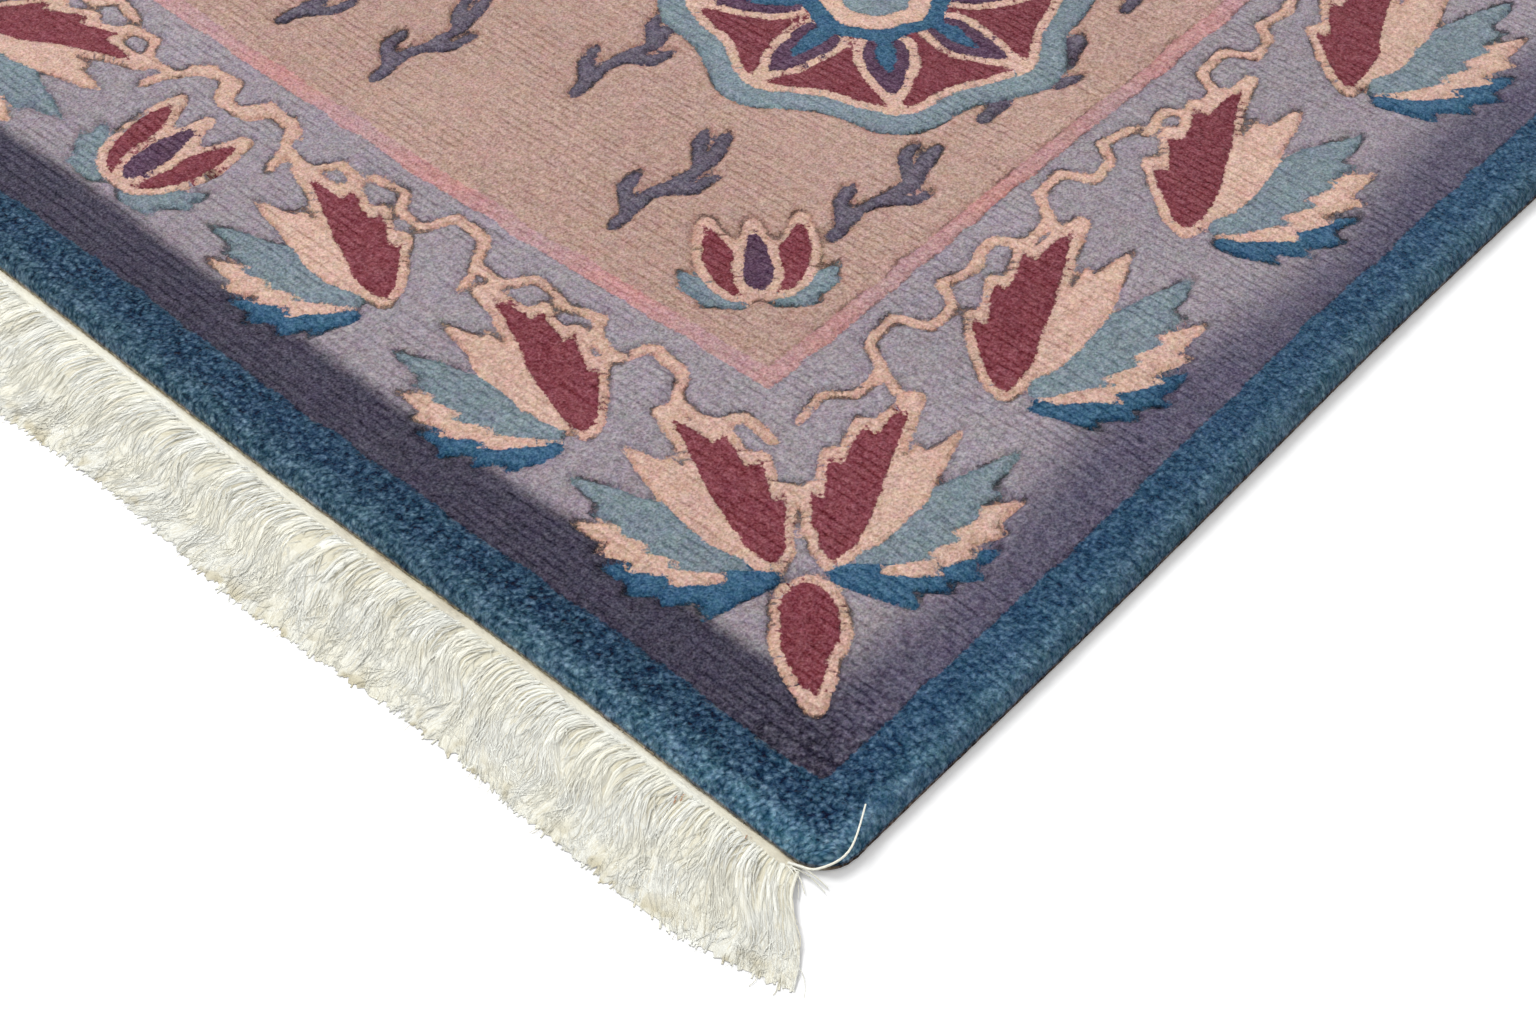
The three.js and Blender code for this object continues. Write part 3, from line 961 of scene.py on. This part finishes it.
def sway(edge, share, t):
    """How far sideways the warp ends lie. They arch out of the strip in bunches, wider and wider in each."""
    seed = seed_of(edge)
    within = within_bunch(edge, share)
    wide = 3.0 + (6.5 + 3.5 * at_share(22, seed + 1, share)) * within * np.clip((1 - within) / 0.1, 0, 1)
    wide = wide * (1 - np.abs(2 * share - 1) ** 12)
    arch = np.sin(np.pi * np.clip(t / 0.66, 0, 1) ** 0.85)
    late = 3.0 * at_share(48, seed + 2, share) * np.sin(2.4 * np.pi * t) * t
    return tip_shift(FRINGE_TABLE[edge], share) * t**1.15 - wide * arch + late


def gap(edge, share, t):
    """How much a place lies in the gap between two bunches."""
    within = within_bunch(edge, share)
    beside = np.minimum(within, 1 - within)
    return np.exp(-((beside / 0.06) ** 2)) * np.sin(np.pi * np.clip(t / 0.6, 0, 1))


def fringe_top(edge, share, t):
    """The height of the fringe's matted surface."""
    seed = seed_of(edge)
    lift = 1 + 0.35 * at_share(70, seed + 3, share)
    hump = 1.5 * lift * np.sin(np.pi * np.clip(t / 0.75, 0, 1) ** 0.7)
    lumps = 0.35 * at_share(160, seed + 4, share) * np.clip(4 * t, 0, 1)
    return 1.5 - 0.2 * t + hump + lumps - 0.9 * gap(edge, share, t)


def fringe_place(edge, share, t, aside, reach, z):
    """Places on the fringe, from the share of its length, the share of its reach, and the way aside."""
    x = -FRINGE_TABLE[edge]["end"] * (-HALF_END + 2 * HALF_END * share + sway(edge, share, t) + aside)
    y = beyond_end(edge, x, STRIP_WIDTH - ROOT_TUCK + t * reach)
    return np.stack([x, y, np.maximum(z, 0.3)], -1)


def cotton_tones(count):
    """Cream yarn colours, a few of them beige."""
    beige = (rng.uniform(0, 1, (count, 1)) < 0.12) * rng.uniform(0.3, 0.9, (count, 1))
    colours = linear(COTTON) * (1 - beige) + linear(SHADE_AND_BEIGE_COTTON) * beige
    return colours * rng.normal(1.0, 0.03, (count, 1))


def make_fringe_yarns(edge):
    """The warp ends on top of the fringe, half sunk in the rest."""
    share = ((np.arange(YARNS_PER_END) + rng.uniform(0, 1, YARNS_PER_END)) / YARNS_PER_END)[:, None]
    t = np.linspace(0, 1, YARN_STEPS)[None, :] ** 0.85
    own = rng.normal(0, 1, share.shape)
    reach = fringe_reach(FRINGE_TABLE[edge], share) + rng.normal(-0.8, 0.9, share.shape)
    crimp = np.sin(t * reach / 2.3 + 9 * at_share(60, seed_of(edge) + 5, share)) * np.clip(3 * t, 0, 1)
    aside = 1.2 * own * t**2 + 0.4 * crimp
    z = fringe_top(edge, share, t) + 0.08 * np.clip(own, -1.5, 1.5)
    z = z - 0.4 * soft_step(t, 0.25, 0.7) - 1.2 * t**6
    paths = fringe_place(edge, share, t, aside, reach, z)
    # They come out of the strip at uneven places, and near the corners right beside the pile.
    root = rng.uniform(0, 1.5, share.shape) + 1.3 * soft_step(np.abs(2 * share - 1), 0.7, 0.95)
    paths[..., 1] -= FRINGE_TABLE[edge]["end"] * root * (1 - t) ** 8
    paths[:, 0, 2] -= 0.4
    widths = YARN_WIDTH * rng.uniform(0.85, 1.15, share.shape) * (1 - 0.35 * t**2)
    paths[..., 2] = np.maximum(paths[..., 2], 0.7 * widths + 0.1)
    obj = strands(f"fringe_{edge}", paths, widths, YARN_PROFILE, cotton_tones(YARNS_PER_END))
    set_cotton(obj, np.repeat(np.broadcast_to(t, widths.shape).ravel(), len(YARN_PROFILE)))
    return obj


def make_fringe_fibres(edge):
    """Curly fibres that fray from the warp ends, most of them near the tips."""
    steps = np.arange(FIBRE_STEPS)
    share = rng.uniform(0, 1, (FIBRES_PER_END, 1))
    start = 1 - 0.85 * rng.uniform(0, 1, share.shape) ** 1.5
    stride = rng.uniform(*FIBRE_LENGTHS, share.shape) / (FIBRE_STEPS - 1)
    curl = 1 + 1.1 * start**6
    heading = rng.normal(0, 0.28, share.shape)
    angle = curl * (heading + rng.normal(0, 0.2, share.shape) * (steps - FIBRE_STEPS // 2))
    turn = np.cumsum(np.stack([np.sin(angle), np.cos(angle)], -1) * stride[..., None], 1)
    reach = fringe_reach(FRINGE_TABLE[edge], share)
    t = start - 0.2 + (turn[..., 1] - turn[:, :1, 1]) / reach
    past = np.maximum(t - 1, 0) * reach
    t = np.clip(t, 0.05, 1.0)
    lift = np.sin(np.pi * steps / (FIBRE_STEPS - 1))
    z = fringe_top(edge, share, t) + 0.1 + 0.2 * lift * rng.uniform(0, 1, share.shape)
    z = z * (1 - 0.35 * t**6) - 0.5 * past
    paths = fringe_place(edge, share, t, turn[..., 0], reach, z)
    paths[..., 1] += FRINGE_TABLE[edge]["end"] * np.minimum(past, PAST_TIPS)
    widths = rng.uniform(0.13, 0.25, share.shape) * (1 - 0.12 * steps)
    obj = strands(f"fringe_fibres_{edge}", paths, widths, FIBRE_PROFILE, cotton_tones(FIBRES_PER_END))
    set_cotton(obj, np.repeat(t.ravel(), len(FIBRE_PROFILE)))
    return obj


def make_fringe_bed(edge):
    """The matted mass of the fringe."""
    row = FRINGE_TABLE[edge]
    columns = 3 * KNOTS_ACROSS
    share, t = np.meshgrid(np.linspace(0, 1, columns), np.append(np.linspace(0, 0.94, 11), [0.98, 1.0]))
    ragged = rng.normal(0, 0.9, (1, columns)) * t**5
    reach = fringe_reach(row, share) - 1.4 + ragged
    z = fringe_top(edge, share, t) + rng.normal(0, 0.08, share.shape) - 1.3 * np.clip(10 * t - 9, 0, 1) ** 2
    between = 1 - soft_step(t, 0.15, 0.5)
    z -= 0.3 * between
    obj = grid_mesh(f"fringe_bed_{edge}", fringe_place(edge, share, t, 0.0, reach, z))
    # The bed is beige at the root: painted shade between the yarns that stand on it.
    colours = blended(linear(COTTON), linear(SHADE_AND_BEIGE_COTTON), between[:-1, :-1].ravel())
    colours = colours * rng.normal(0.97, 0.015, (len(colours), 1))
    set_colours(obj, "yarn", colours, 4)
    set_cotton(obj, t.ravel(), 1.0, (share * 2 * HALF_WIDTH).ravel(), (t * reach).ravel())
    return obj


# Loose ends of cotton at the south-east corner: their radius, and their route in millimetres from the corner.
LOOSE_ENDS = [
    (0.55, [(-16, -2, 2.5), (-12, -1, 3.5), (-6.5, -0.5, 5.5), (-3.5, 2, 7.5), (-0.5, 6, 9.5), (0.5, 11, 11),
            (-1.5, 17, 11.5), (-4.5, 23, 11.5), (-7.5, 29, 12.5)]),
    (0.4, [(-16, -2, 2), (-11.5, -0.5, 2.5), (-6.5, 0.5, 2), (0.5, 0, 1)]),
    (0.3, [(-16, -3, 2), (-10.5, -1.5, 2.5), (-5.5, -1, 2), (1, -2, 1)]),
    (0.3, [(-16, -2, 2), (-12.5, -2.5, 2.5), (-8.5, -4, 2), (-4, -7, 1)]),
    (0.25, [(-15, -3, 2), (-11.5, -4, 2.5), (-7.5, -6, 1.5), (-4.5, -10, 1)]),
]
LOOSE_STEPS = 24
# Rust-brown flecks of wool caught in the fringe, as the distance from the corner and the share of the reach.
FLECK = (198, 150, 116)
FLECK_PLACES = [(61, 0.07), (59.8, 0.10), (61.8, 0.11), (60.6, 0.14), (33, 0.0), (33.8, 0.03)]


def rounded(points):
    """A route with its bends rounded off."""
    for _ in range(3):
        near, far = points[:-1] * 0.75 + points[1:] * 0.25, points[:-1] * 0.25 + points[1:] * 0.75
        points = np.concatenate([points[:1], np.stack([near, far], 1).reshape(-1, 3), points[-1:]])
    at = np.linspace(0, len(points) - 1, LOOSE_STEPS)
    return np.stack([np.interp(at, np.arange(len(points)), points[:, axis]) for axis in range(3)], -1)


def make_loose_ends():
    """The loose ends of LOOSE_ENDS, which thin out a little."""
    corner = (HALF_WIDTH, -HALF_LENGTH, 0)
    paths = np.array([rounded(np.array(route, float)) for _, route in LOOSE_ENDS]) + corner
    radii = np.array([[radius] for radius, _ in LOOSE_ENDS]) * np.linspace(1.0, 0.6, LOOSE_STEPS)
    obj = tubes("loose_ends", paths, radii, 6, np.tile(linear(COTTON), (len(paths), 1)))
    set_cotton(obj)
    return obj


def make_flecks():
    """The flecks of FLECK_PLACES, each a short spindle that lies aslant on the fringe."""
    from_corner, t = np.array(FLECK_PLACES).T[:, :, None]
    share = 1 - (from_corner - CORNER_RADIUS) / (2 * HALF_END)
    steps = np.linspace(-1, 1, 4)
    along = np.maximum(t + 0.02 * steps, 0)
    z = fringe_top("south", share, along) + 0.6
    paths = fringe_place("south", share, along, 0.5 * steps, FRINGE_REACH, z)
    widths = 0.35 * (1.1 - np.abs(steps)) + np.zeros_like(paths[..., 0])
    obj = strands("wool_flecks", paths, widths, FIBRE_PROFILE, np.tile(linear(FLECK), (len(paths), 1)))
    set_cotton(obj)
    return obj


# ---------------------------------------------------------------- materials


# Where a mix node keeps its sockets for colours. The ones for numbers have the same names.
COLOUR_A, COLOUR_B, COLOUR_RESULT = 6, 7, 2


class Nodes:
    """A node tree, with short ways to add nodes and links."""

    def __init__(self, tree):
        self.tree = tree

    def set(self, socket, value):
        if isinstance(value, bpy.types.NodeSocket):
            self.tree.links.new(value, socket)
        else:
            socket.default_value = value

    def fed(self, node, **inputs):
        """The node, with values or links for its inputs by name."""
        for key, value in inputs.items():
            self.set(node.inputs[key.replace("_", " ")], value)
        return node

    def node(self, kind, settings=None, **inputs):
        made = self.tree.nodes.new("ShaderNode" + kind)
        for key, value in (settings or {}).items():
            setattr(made, key, value)
        return self.fed(made, **inputs)

    def maths(self, operation, *values, kind="Math"):
        made = self.node(kind, {"operation": operation})
        for socket, value in zip(made.inputs, values):
            self.set(socket, value)
        return made.outputs[0]

    def vector_maths(self, operation, *values):
        return self.maths(operation, *values, kind="VectorMath")

    def times(self, *factors):
        total = factors[0]
        for factor in factors[1:]:
            total = self.maths("MULTIPLY", total, factor)
        return total

    def total(self, *terms):
        """The sum of values, each times its amount."""
        total = 0.0
        for value, amount in terms:
            total = self.maths("MULTIPLY_ADD", value, amount, total)
        return total

    def ramp(self, value, low, high, to_low, to_high):
        """A smooth step from to_low, where the value is low, to to_high, where it is high."""
        made = self.node("MapRange", {"interpolation_type": "SMOOTHSTEP"}, Value=value)
        self.fed(made, From_Min=low, From_Max=high, To_Min=to_low, To_Max=to_high)
        return made.outputs["Result"]

    def seen(self):
        """1 for the camera's rays, and for those that glossy and clear things send on. 0 for the rest."""
        ray = self.node("LightPath").outputs
        mirrored = self.maths("MAXIMUM", ray["Is Glossy Ray"], ray["Is Transmission Ray"])
        return self.maths("MAXIMUM", ray["Is Camera Ray"], mirrored)


class Shader(Nodes):
    """A material's node tree, round its Principled BSDF."""

    def __init__(self, name):
        self.material = bpy.data.materials.new(name)
        self.material.use_nodes = True
        super().__init__(self.material.node_tree)
        self.principled = self.tree.nodes["Principled BSDF"]
        self.place = self.node("TexCoord").outputs["Object"]

    def attribute(self, name, output="Fac"):
        return self.node("Attribute", {"attribute_name": name}).outputs[output]

    def noise(self, vector, scale, detail=2.0, roughness=0.5, output="Fac"):
        made = self.node("TexNoise", Vector=vector, Scale=scale, Detail=detail, Roughness=roughness)
        return made.outputs[output]

    def grain(self, size, detail=2.0, roughness=0.5, at=None, output="Fac"):
        """Noise with features that many millimetres wide, by the place on the object or by another place."""
        return self.noise(at or self.place, 1 / (size * MM), detail, roughness, output)

    def by_knots(self, column, row, detail, roughness=0.5):
        """Noise over shares of the knots' columns and rows."""
        return self.noise(self.node("CombineXYZ", X=column, Y=row).outputs[0], 1.0, detail, roughness)

    def mix(self, share, first, second):
        """The first colour, or the second where share is 1."""
        made = self.node("Mix", {"data_type": "RGBA"}, Factor=share)
        self.set(made.inputs[COLOUR_A], first)
        self.set(made.inputs[COLOUR_B], second)
        return made.outputs[COLOUR_RESULT]

    def scaled(self, colour, factor):
        return self.node("VectorMath", {"operation": "SCALE"}, Vector=colour, Scale=factor).outputs[0]

    def gamma(self, colour, power):
        return self.node("Gamma", Color=colour, Gamma=power).outputs[0]

    def toned(self, colour, light_and_tone):
        """A colour made lighter or darker by the same step in every channel, for painted highlights and shade
        on the tufts and for their worn tips.
        """
        moved = self.vector_maths("ADD", self.gamma(colour, 1 / SCREEN_GAMMA), light_and_tone)
        return self.gamma(self.vector_maths("MAXIMUM", moved, (DARKEST,) * 3), SCREEN_GAMMA)

    def tinted(self, colour, size, amount):
        """A colour with each channel a little more or less, by a noise of that size in millimetres."""
        noise = self.grain(size, 1.0, output="Color")
        made = self.node("MapRange", {"data_type": "FLOAT_VECTOR"}, Vector=noise)
        ends = {"From Min": 0.25, "From Max": 0.75, "To Min": 1 - amount, "To Max": 1 + amount}
        for socket in made.inputs:
            if socket.name in ends and socket.type == "VECTOR":
                socket.default_value = (ends[socket.name],) * 3
        return self.vector_maths("MULTIPLY", colour, made.outputs["Vector"])

    def bump(self, height):
        """A normal from a height in millimetres."""
        made = self.node("Bump", Height=height, Distance=MM, Strength=1.0)
        self.set(self.principled.inputs["Normal"], made.outputs["Normal"])

    def lift_normal(self, amount):
        """Turns the normal towards straight up, as light that passes through fine yarns does."""
        normal = self.principled.inputs["Normal"]
        lifted = self.vector_maths("ADD", normal.links[0].from_socket, (0, 0, amount))
        self.set(normal, self.vector_maths("NORMALIZE", lifted))

    def finish(self, colour, roughness, specular, sheen=0.0):
        self.fed(self.principled, Base_Color=colour, Roughness=roughness, Specular_IOR_Level=specular)
        self.fed(self.principled, Sheen_Weight=sheen, Sheen_Roughness=0.4)
        return self.material


SCREEN_GAMMA = 2.2
DARKEST = 0.04
# How wide the features of the wool's texture are, the way its nap lies, and how far its yarns mix at a line.
FIBRE_SIZE = 1.0
TUFT_SIZE = 1.6
CELL_SIZE = 2.2
FLUFF_SIZE = 4.5
PATCH_SIZE = 75
STIR_SIZE = 3
STIR_REACH = 1.4
NAP_TURN = math.radians(40)
NAP_STRETCH = (1.08, 0.95, 1.0)
RAGGED = 4.2
# How far in millimetres light goes into cotton, which softens the shadows of its fibres.
LIGHT_DEPTH = 1.2


def tuft_cells(s, combed):
    """The tufts, drawn out to one side by the nap, and the edges and tones of the cells they stand in."""
    mapping = s.node("Mapping", {"vector_type": "TEXTURE"}, Vector=combed)
    nap = s.fed(mapping, Rotation=(0, 0, NAP_TURN), Scale=NAP_STRETCH).outputs["Vector"]
    tuft = s.grain(TUFT_SIZE, 2.0, 0.55, nap)
    stir = s.grain(STIR_SIZE, 1.0, 0.5, combed, "Color")
    stirred = s.vector_maths("MULTIPLY_ADD", stir, (STIR_REACH * MM,) * 3, nap)
    cell = s.node("TexVoronoi", {"feature": "SMOOTH_F1"}, Vector=stirred, Scale=1 / (CELL_SIZE * MM))
    s.fed(cell, Smoothness=0.35)
    cell_tone = s.node("SeparateColor", Color=cell.outputs["Color"]).outputs["Red"]
    return tuft, cell.outputs["Distance"], cell_tone


def joined_yarns(s, edge, carved):
    """The colour where yarns meet, on a line that shifts a little to either side, and the groove along it,
    whose darkness is painted shade.
    """
    frayed = s.grain(2.2, 3.0, 0.7)
    shift = s.times(s.maths("SUBTRACT", frayed, 0.5), s.attribute("side"), RAGGED)
    mixed = s.ramp(s.maths("SUBTRACT", shift, edge), -0.45, 0.45, 0.0, 1.0)
    yarn = s.mix(mixed, s.attribute("yarn", "Color"), s.attribute("yarn_beside", "Color"))
    depth = s.grain(14, 1.0)
    aside = s.maths("ABSOLUTE", s.maths("SUBTRACT", edge, shift))
    groove = s.times(s.ramp(aside, 0.0, 1.0, 1.0, 0.0), carved, s.ramp(depth, 0.44, 0.60, 0.05, 1.0))
    return yarn, groove


def row_lines(s, column, row, edge, rough):
    """The shallow lines between rows, which waver, and come and go, and the wool that stands between them:
    painted shade and highlight.
    """
    along = s.maths("MULTIPLY_ADD", s.grain(7, 1.0), 0.55, row)
    beside_line = s.maths("PINGPONG", along, 0.5)
    dashes = s.by_knots(s.times(column, 0.22), s.times(row, 1.3), 1.5)
    regions = s.grain(42, 1.0)
    inner = s.ramp(edge, 0.5, 3.0, 0.15, 1.0)
    strength = s.times(s.ramp(dashes, 0.32, 0.58, 0.0, 1.0), s.ramp(regions, 0.38, 0.56, 0.3, 1.0), inner)
    smoothed = s.maths("MULTIPLY_ADD", rough, -0.8, 1.3)
    line = s.times(s.ramp(beside_line, 0.0, 0.26, 1.0, 0.0), strength, smoothed)
    row_highlight = s.times(s.ramp(beside_line, 0.0, 0.5, 0.0, 1.0), s.ramp(regions, 0.38, 0.60, 0.3, 1.0))
    return line, row_highlight


def wool_material():
    """Cut wool pile: fine fibres in soft tufts, shallow lines between rows, and carved lines round motifs."""
    s = Shader("wool_pile")
    column, row = s.attribute("column"), s.attribute("row")
    edge, carved = s.attribute("edge"), s.attribute("carved")
    clump, combed = s.attribute("clump"), s.attribute("combed", "Vector")
    rough = s.maths("MULTIPLY_ADD", clump, 0.5, 0.5)
    soft = s.maths("MULTIPLY_ADD", clump, 0.45, 0.55)
    fine = s.maths("MULTIPLY_ADD", clump, -0.3, 1.0)
    fibre = s.grain(FIBRE_SIZE, 2.0, 0.6, combed)
    tuft, cell_edge, cell_tone = tuft_cells(s, combed)
    fluff = s.grain(FLUFF_SIZE, 2.0, 0.5, combed)
    patch = s.grain(PATCH_SIZE, 3.0)
    yarn, groove = joined_yarns(s, edge, carved)
    line, row_highlight = row_lines(s, column, row, edge, rough)
    streak = s.by_knots(s.times(column, 0.07), s.times(row, 1.1), 3.0, 0.65)
    # Each part of the texture makes the wool lighter and darker by up to this much of full white.
    # Most of it is painted light and shade: highlights and shade on the fibres, tufts and fluff, shade in the
    # gaps between tufts and in the lines between rows, a highlight on the wool between them, and broad
    # patches of sheen.
    # The cells' tones and the streaks along the rows are the yarn's own uneven dye.
    light_and_tone = s.total(
        (s.times(s.ramp(fibre, 0.28, 0.72, -1.0, 1.0), fine), 0.075),
        (s.times(rough, s.ramp(tuft, 0.30, 0.70, -1.0, 1.0)), 0.072),
        (s.times(clump, s.ramp(cell_edge, 0.10, 0.75, 1.0, -1.0)), 0.080),
        (s.times(clump, s.ramp(cell_tone, 0.1, 0.9, -1.0, 1.0)), 0.040),
        (s.times(soft, s.ramp(fluff, 0.32, 0.68, -1.0, 1.0)), 0.050),
        (s.maths("SUBTRACT", patch, 0.5), 0.06),
        (s.maths("SUBTRACT", streak, 0.5), 0.09),
        # A painted highlight on the wool between the row lines, and painted shade in the lines.
        (s.maths("SUBTRACT", row_highlight, 0.4), 0.02),
        (line, -0.09),
    )
    dyed = s.tinted(s.tinted(yarn, 1.6, 0.07), 9, 0.04)
    # The light that comes through the cut tufts beside a carved line is deeper in colour.
    beside = s.times(s.ramp(edge, 0.0, 3.0, 1.0, 0.0), carved)
    deep = s.gamma(dyed, s.maths("MULTIPLY_ADD", beside, 0.22, 1.0))
    # The carved groove is darkened by a painted shade.
    colour = s.scaled(s.toned(deep, light_and_tone), s.maths("MULTIPLY_ADD", groove, -0.6, 1.0))
    s.bump(s.total((fibre, 0.55), (s.times(rough, tuft), 1.5), (fluff, 1.2), (line, -0.18), (groove, -0.6)))
    return s.finish(colour, 0.9, 0.10, 0.12)


def cotton_material():
    """Undyed cotton: matted strands with beige lines of painted shade between them, dull in places at the
    tips.
    """
    s = Shader("cotton_yarn")
    matted = s.attribute("matted")
    slub = s.grain(4, 3.0)
    twist = s.grain(0.45, 2.0, 0.6)
    strand = s.by_knots(s.times(s.attribute("strand"), 0.62), s.times(s.attribute("out"), 0.07), 3.0, 0.65)
    off = s.maths("ABSOLUTE", s.maths("SUBTRACT", strand, 0.5))
    between = s.times(s.ramp(off, 0.0, 0.06, 1.0, 0.0), matted, s.ramp(slub, 0.35, 0.6, 0.4, 1.0))
    warm = s.ramp(s.grain(17), 0.40, 0.62, 0.0, 0.5)
    patch = s.ramp(s.grain(11, 2.0, 0.6), 0.50, 0.62, 0.0, 1.0)
    dull = s.times(s.ramp(s.attribute("frayed"), 0.74, 1.0, 0.0, 0.8), patch)
    colour = s.mix(warm, s.attribute("yarn", "Color"), (*linear(WARM_COTTON), 1))
    # The lines between the strands are painted shade.
    colour = s.mix(s.maths("MAXIMUM", dull, s.times(between, 0.55)), colour, (*linear(DULL_COTTON), 1))
    shade = s.times(s.maths("MULTIPLY_ADD", slub, 0.12, 0.95), s.maths("MULTIPLY_ADD", twist, 0.16, 0.93))
    s.bump(s.maths("MULTIPLY_ADD", s.times(strand, matted), 0.5, s.times(twist, 0.2)))
    s.lift_normal(1.3)
    s.principled.subsurface_method = "BURLEY"
    s.fed(s.principled, Subsurface_Weight=0.5, Subsurface_Radius=(LIGHT_DEPTH,) * 3, Subsurface_Scale=MM)
    return s.finish(s.scaled(colour, shade), 0.85, 0.10, 0.05)


WHITE = (1, 1, 1, 1)
PAPER = (0.78, 0.77, 0.76, 1)
PAPER_GLOW = 0.14


def floor_material():
    """Plain white paper, which is seen a little brighter than it lights the rug."""
    s = Shader("floor_paper")
    seen = s.seen()
    s.fed(s.principled, Emission_Color=WHITE, Emission_Strength=s.times(seen, PAPER_GLOW))
    return s.finish(s.mix(seen, PAPER, WHITE), 1.0, 0.0)


# ---------------------------------------------------------------- stage


# The camera's place from the south-east corner in metres, and the way it looks.
CAMERA_OFFSET = Vector((0.3164, -0.387, 0.7595))
CAMERA_HEADING = math.radians(131.59)
CAMERA_DIP = math.radians(48.46)
CAMERA_LENS = 61.34
LAMP_PLACE = Vector((-3.1, -0.5, 4.25))
LAMP_AIM = Vector((0.1, -0.3, 0))
LAMP_SIZE = 2.6
LAMP_ENERGY = 204
SURROUND = 0.62
FLOOR_REACH = 6.0


def make_camera():
    """The camera, above and outside the south-east corner."""
    corner = Vector((HALF_WIDTH + CENTRE_X, -HALF_LENGTH + CENTRE_Y, 0)) * MM
    camera = add_object("camera", bpy.data.cameras.new("camera"))
    camera.data.sensor_width = 36.0
    camera.data.lens = CAMERA_LENS
    camera.data.clip_start, camera.data.clip_end = 0.05, 50
    level = math.cos(CAMERA_DIP)
    east, north = math.cos(CAMERA_HEADING) * level, math.sin(CAMERA_HEADING) * level
    forward = Vector((east, north, -math.sin(CAMERA_DIP)))
    right = forward.cross(Vector((0, 0, 1))).normalized()
    turn = Matrix((right, right.cross(forward), -forward)).transposed()
    camera.matrix_world = Matrix.Translation(corner + CAMERA_OFFSET) @ turn.to_4x4()
    bpy.context.scene.camera = camera


def make_light():
    """A soft white surround, dimmer for the rug than it looks, and one wide lamp beyond the western side."""
    world = bpy.data.worlds.new("studio")
    bpy.context.scene.world = world
    world.use_nodes = True
    surround = Nodes(world.node_tree)
    strength = surround.ramp(surround.seen(), 0.0, 1.0, SURROUND, 1.0)
    surround.fed(surround.tree.nodes["Background"], Color=WHITE, Strength=strength)
    lamp = add_object("lamp", bpy.data.lights.new("lamp", "AREA"))
    lamp.data.shape = "DISK"
    lamp.data.size = LAMP_SIZE
    lamp.data.energy = LAMP_ENERGY
    lamp.location = LAMP_PLACE
    lamp.rotation_euler = (LAMP_AIM - LAMP_PLACE).to_track_quat("-Z", "Y").to_euler()


def make_floor():
    """A wide floor under the rug. It is part of the picture, and not of the rug."""
    mesh = bpy.data.meshes.new("floor")
    corners = [(x * FLOOR_REACH, y * FLOOR_REACH, 0) for x, y in ((-1, -1), (1, -1), (1, 1), (-1, 1))]
    mesh.from_pydata(corners, [], [(0, 1, 2, 3)])
    floor = add_object("floor", mesh)
    floor.data.materials.append(floor_material())


# ---------------------------------------------------------------- the rug


def dress(piece, material, slot, *replaced):
    """Gives a piece its material and its place in the frame. The slot is not used."""
    piece.data.materials.append(material)
    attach(piece, "root")
    if replaced:
        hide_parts(*replaced)


bpy.context.scene.view_settings.view_transform = "Standard"
make_camera()
make_light()
make_floor()

chart = make_chart()
shape = shape_pile(chart)
rim = rim_of(shape["place"])
ground = make_ground(chart)
wool_pieces = [*make_pile(chart, shape), make_skirt(rim, rim_of(shape["flat"])), make_edge_fuzz(rim)]
wool, cotton = wool_material(), cotton_material()
dress(ground, wool, "wool_pile", "rug_body")
for piece in wool_pieces:
    dress(piece, wool, "wool_pile")
cotton_pieces = [make_loose_ends(), make_flecks()]
for piece in cotton_pieces:
    dress(piece, cotton, "cotton_warp")
for edge in FRINGE_TABLE:
    end_pieces = [make_strip(edge), make_fringe_yarns(edge), make_fringe_fibres(edge), make_fringe_bed(edge)]
    for piece in end_pieces:
        dress(piece, cotton, "cotton_warp", f"cotton_end_{edge}")
    cotton_pieces += end_pieces
